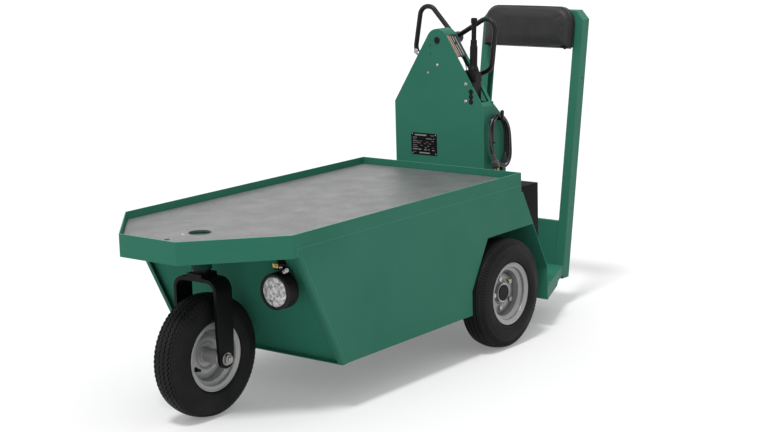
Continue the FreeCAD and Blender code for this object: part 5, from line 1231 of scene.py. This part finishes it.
plug_profile += [(0.0285, 0.0112), (0.0345, 0.0139), (0.0370, 0.0144), (0.0395, 0.0145), (0.0400, 0.0138),
                 (0.0412, 0.0138), (0.0417, 0.0145), (0.0445, 0.0145), (0.0450, 0.0138), (0.0462, 0.0138),
                 (0.0467, 0.0145), (0.0568, 0.0145), (0.0582, 0.0139), (0.0590, 0.0124), (0.0590, 0.0)]
moulded_plug = lathed("moulded_plug", plug_profile, plug_top, PLUG_AXIS, plug_rubber, 32)
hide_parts("charger_plug")
contacts = bmesh.new()
for sign in (1, -1):
    foot = plug_top + PLUG_AXIS * 0.0588 + Vector((sign * 0.00635, 0, 0)) - PLUG_SIDE * 0.00485
    block(contacts, foot, ACROSS, PLUG_SIDE, PLUG_AXIS, 0.0016, 0.0063, 0.0176, 0.0006)
turned(contacts, [(0.0, 0.0), (0.0, 0.0024), (0.0185, 0.0024), (0.0202, 0.0016), (0.0206, 0.0)],
       plug_top + PLUG_AXIS * 0.0585 + PLUG_SIDE * 0.007, PLUG_AXIS, 20)
plug_contacts = kept("plug_contacts", contacts, brass, smooth=35)

RELIEF_FOOT = coil_middle + Vector((-0.0025, 0.014, -0.141))
RELIEF_AXIS = Vector((-0.0010, 0.0006, 0.0260)).normalized()
relief_profile = [(0.0, 0.0076)]
for rib in range(5):
    relief_profile += [(0.0030 + 0.0050 * rib, 0.0075 - 0.0004 * rib),
                       (0.0034 + 0.0050 * rib, 0.0066 - 0.0004 * rib),
                       (0.0050 + 0.0050 * rib, 0.0065 - 0.0004 * rib),
                       (0.0054 + 0.0050 * rib, 0.0073 - 0.0004 * rib)]
relief = bmesh.new()
relief_profile += [(0.0285, 0.0052), (0.0285, 0.0044), (0.0, 0.0044)]
closed_ring(relief, relief_profile, RELIEF_FOOT, RELIEF_AXIS, 24)
strain_relief = kept("strain_relief", relief, black_rubber, smooth=35)

TIE_UP = -0.004
TIE_HALF = 0.0022
TIE_THICK = 0.0012
bundle = []
for before, after in zip(wound, wound[1:]):
    if before[1] < 0 and (before[2] - TIE_UP) * (after[2] - TIE_UP) <= 0:
        bundle.append(((before[0] + after[0]) / 2, (before[1] + after[1]) / 2))
tie_reach = FLEX_THICK / 2 + 0.0003
around = [(x, y, math.radians(20 * step)) for x, y in bundle for step in range(18)]
reached = [(x + tie_reach * math.cos(angle), y + tie_reach * math.sin(angle)) for x, y, angle in around]
hull = convex_hull_2d(reached)


def tie_loop(out, up):
    """The tie's loop drawn tight round the bundled turns, at one distance out and one height."""
    reach = tie_reach + out
    spots = []
    for index in hull:
        x, y, angle = around[index]
        spots.append(coil_middle + Vector((x + reach * math.cos(angle), y + reach * math.sin(angle),
                                           TIE_UP + up)))
    return spots


tie = bmesh.new()
band_section = ((0.0, -TIE_HALF), (TIE_THICK, -TIE_HALF), (TIE_THICK, TIE_HALF), (0.0, TIE_HALF))
tie_rings = [[tie.verts.new(spot) for spot in tie_loop(out, up)] for out, up in band_section]
walled(tie, tie_rings + tie_rings[:1])
outer_strand = max(bundle)
tie_head = coil_middle + Vector((outer_strand[0] + tie_reach + 0.0008, outer_strand[1], TIE_UP))
block(tie, tie_head, BACKWARDS, UP, ACROSS, 0.0062, 0.0066, 0.0036, 0.001)
cable_tie = kept("cable_tie", tie, black_moulding, smooth=40)

hook_low, hook_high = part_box("cord_hook")
hook_tip = (hook_high.x - 0.0050, (hook_low.y + hook_high.y) / 2, hook_high.z - 0.0165)
tip_profile = [(0.0, 0.0), (0.0, 0.0060), (0.0012, 0.0068), (0.0130, 0.0070), (0.0160, 0.0066),
               (0.0185, 0.0048), (0.0194, 0.0)]
lathed("hook_knob", tip_profile, hook_tip, UP, black_rubber, 24, smooth=40)
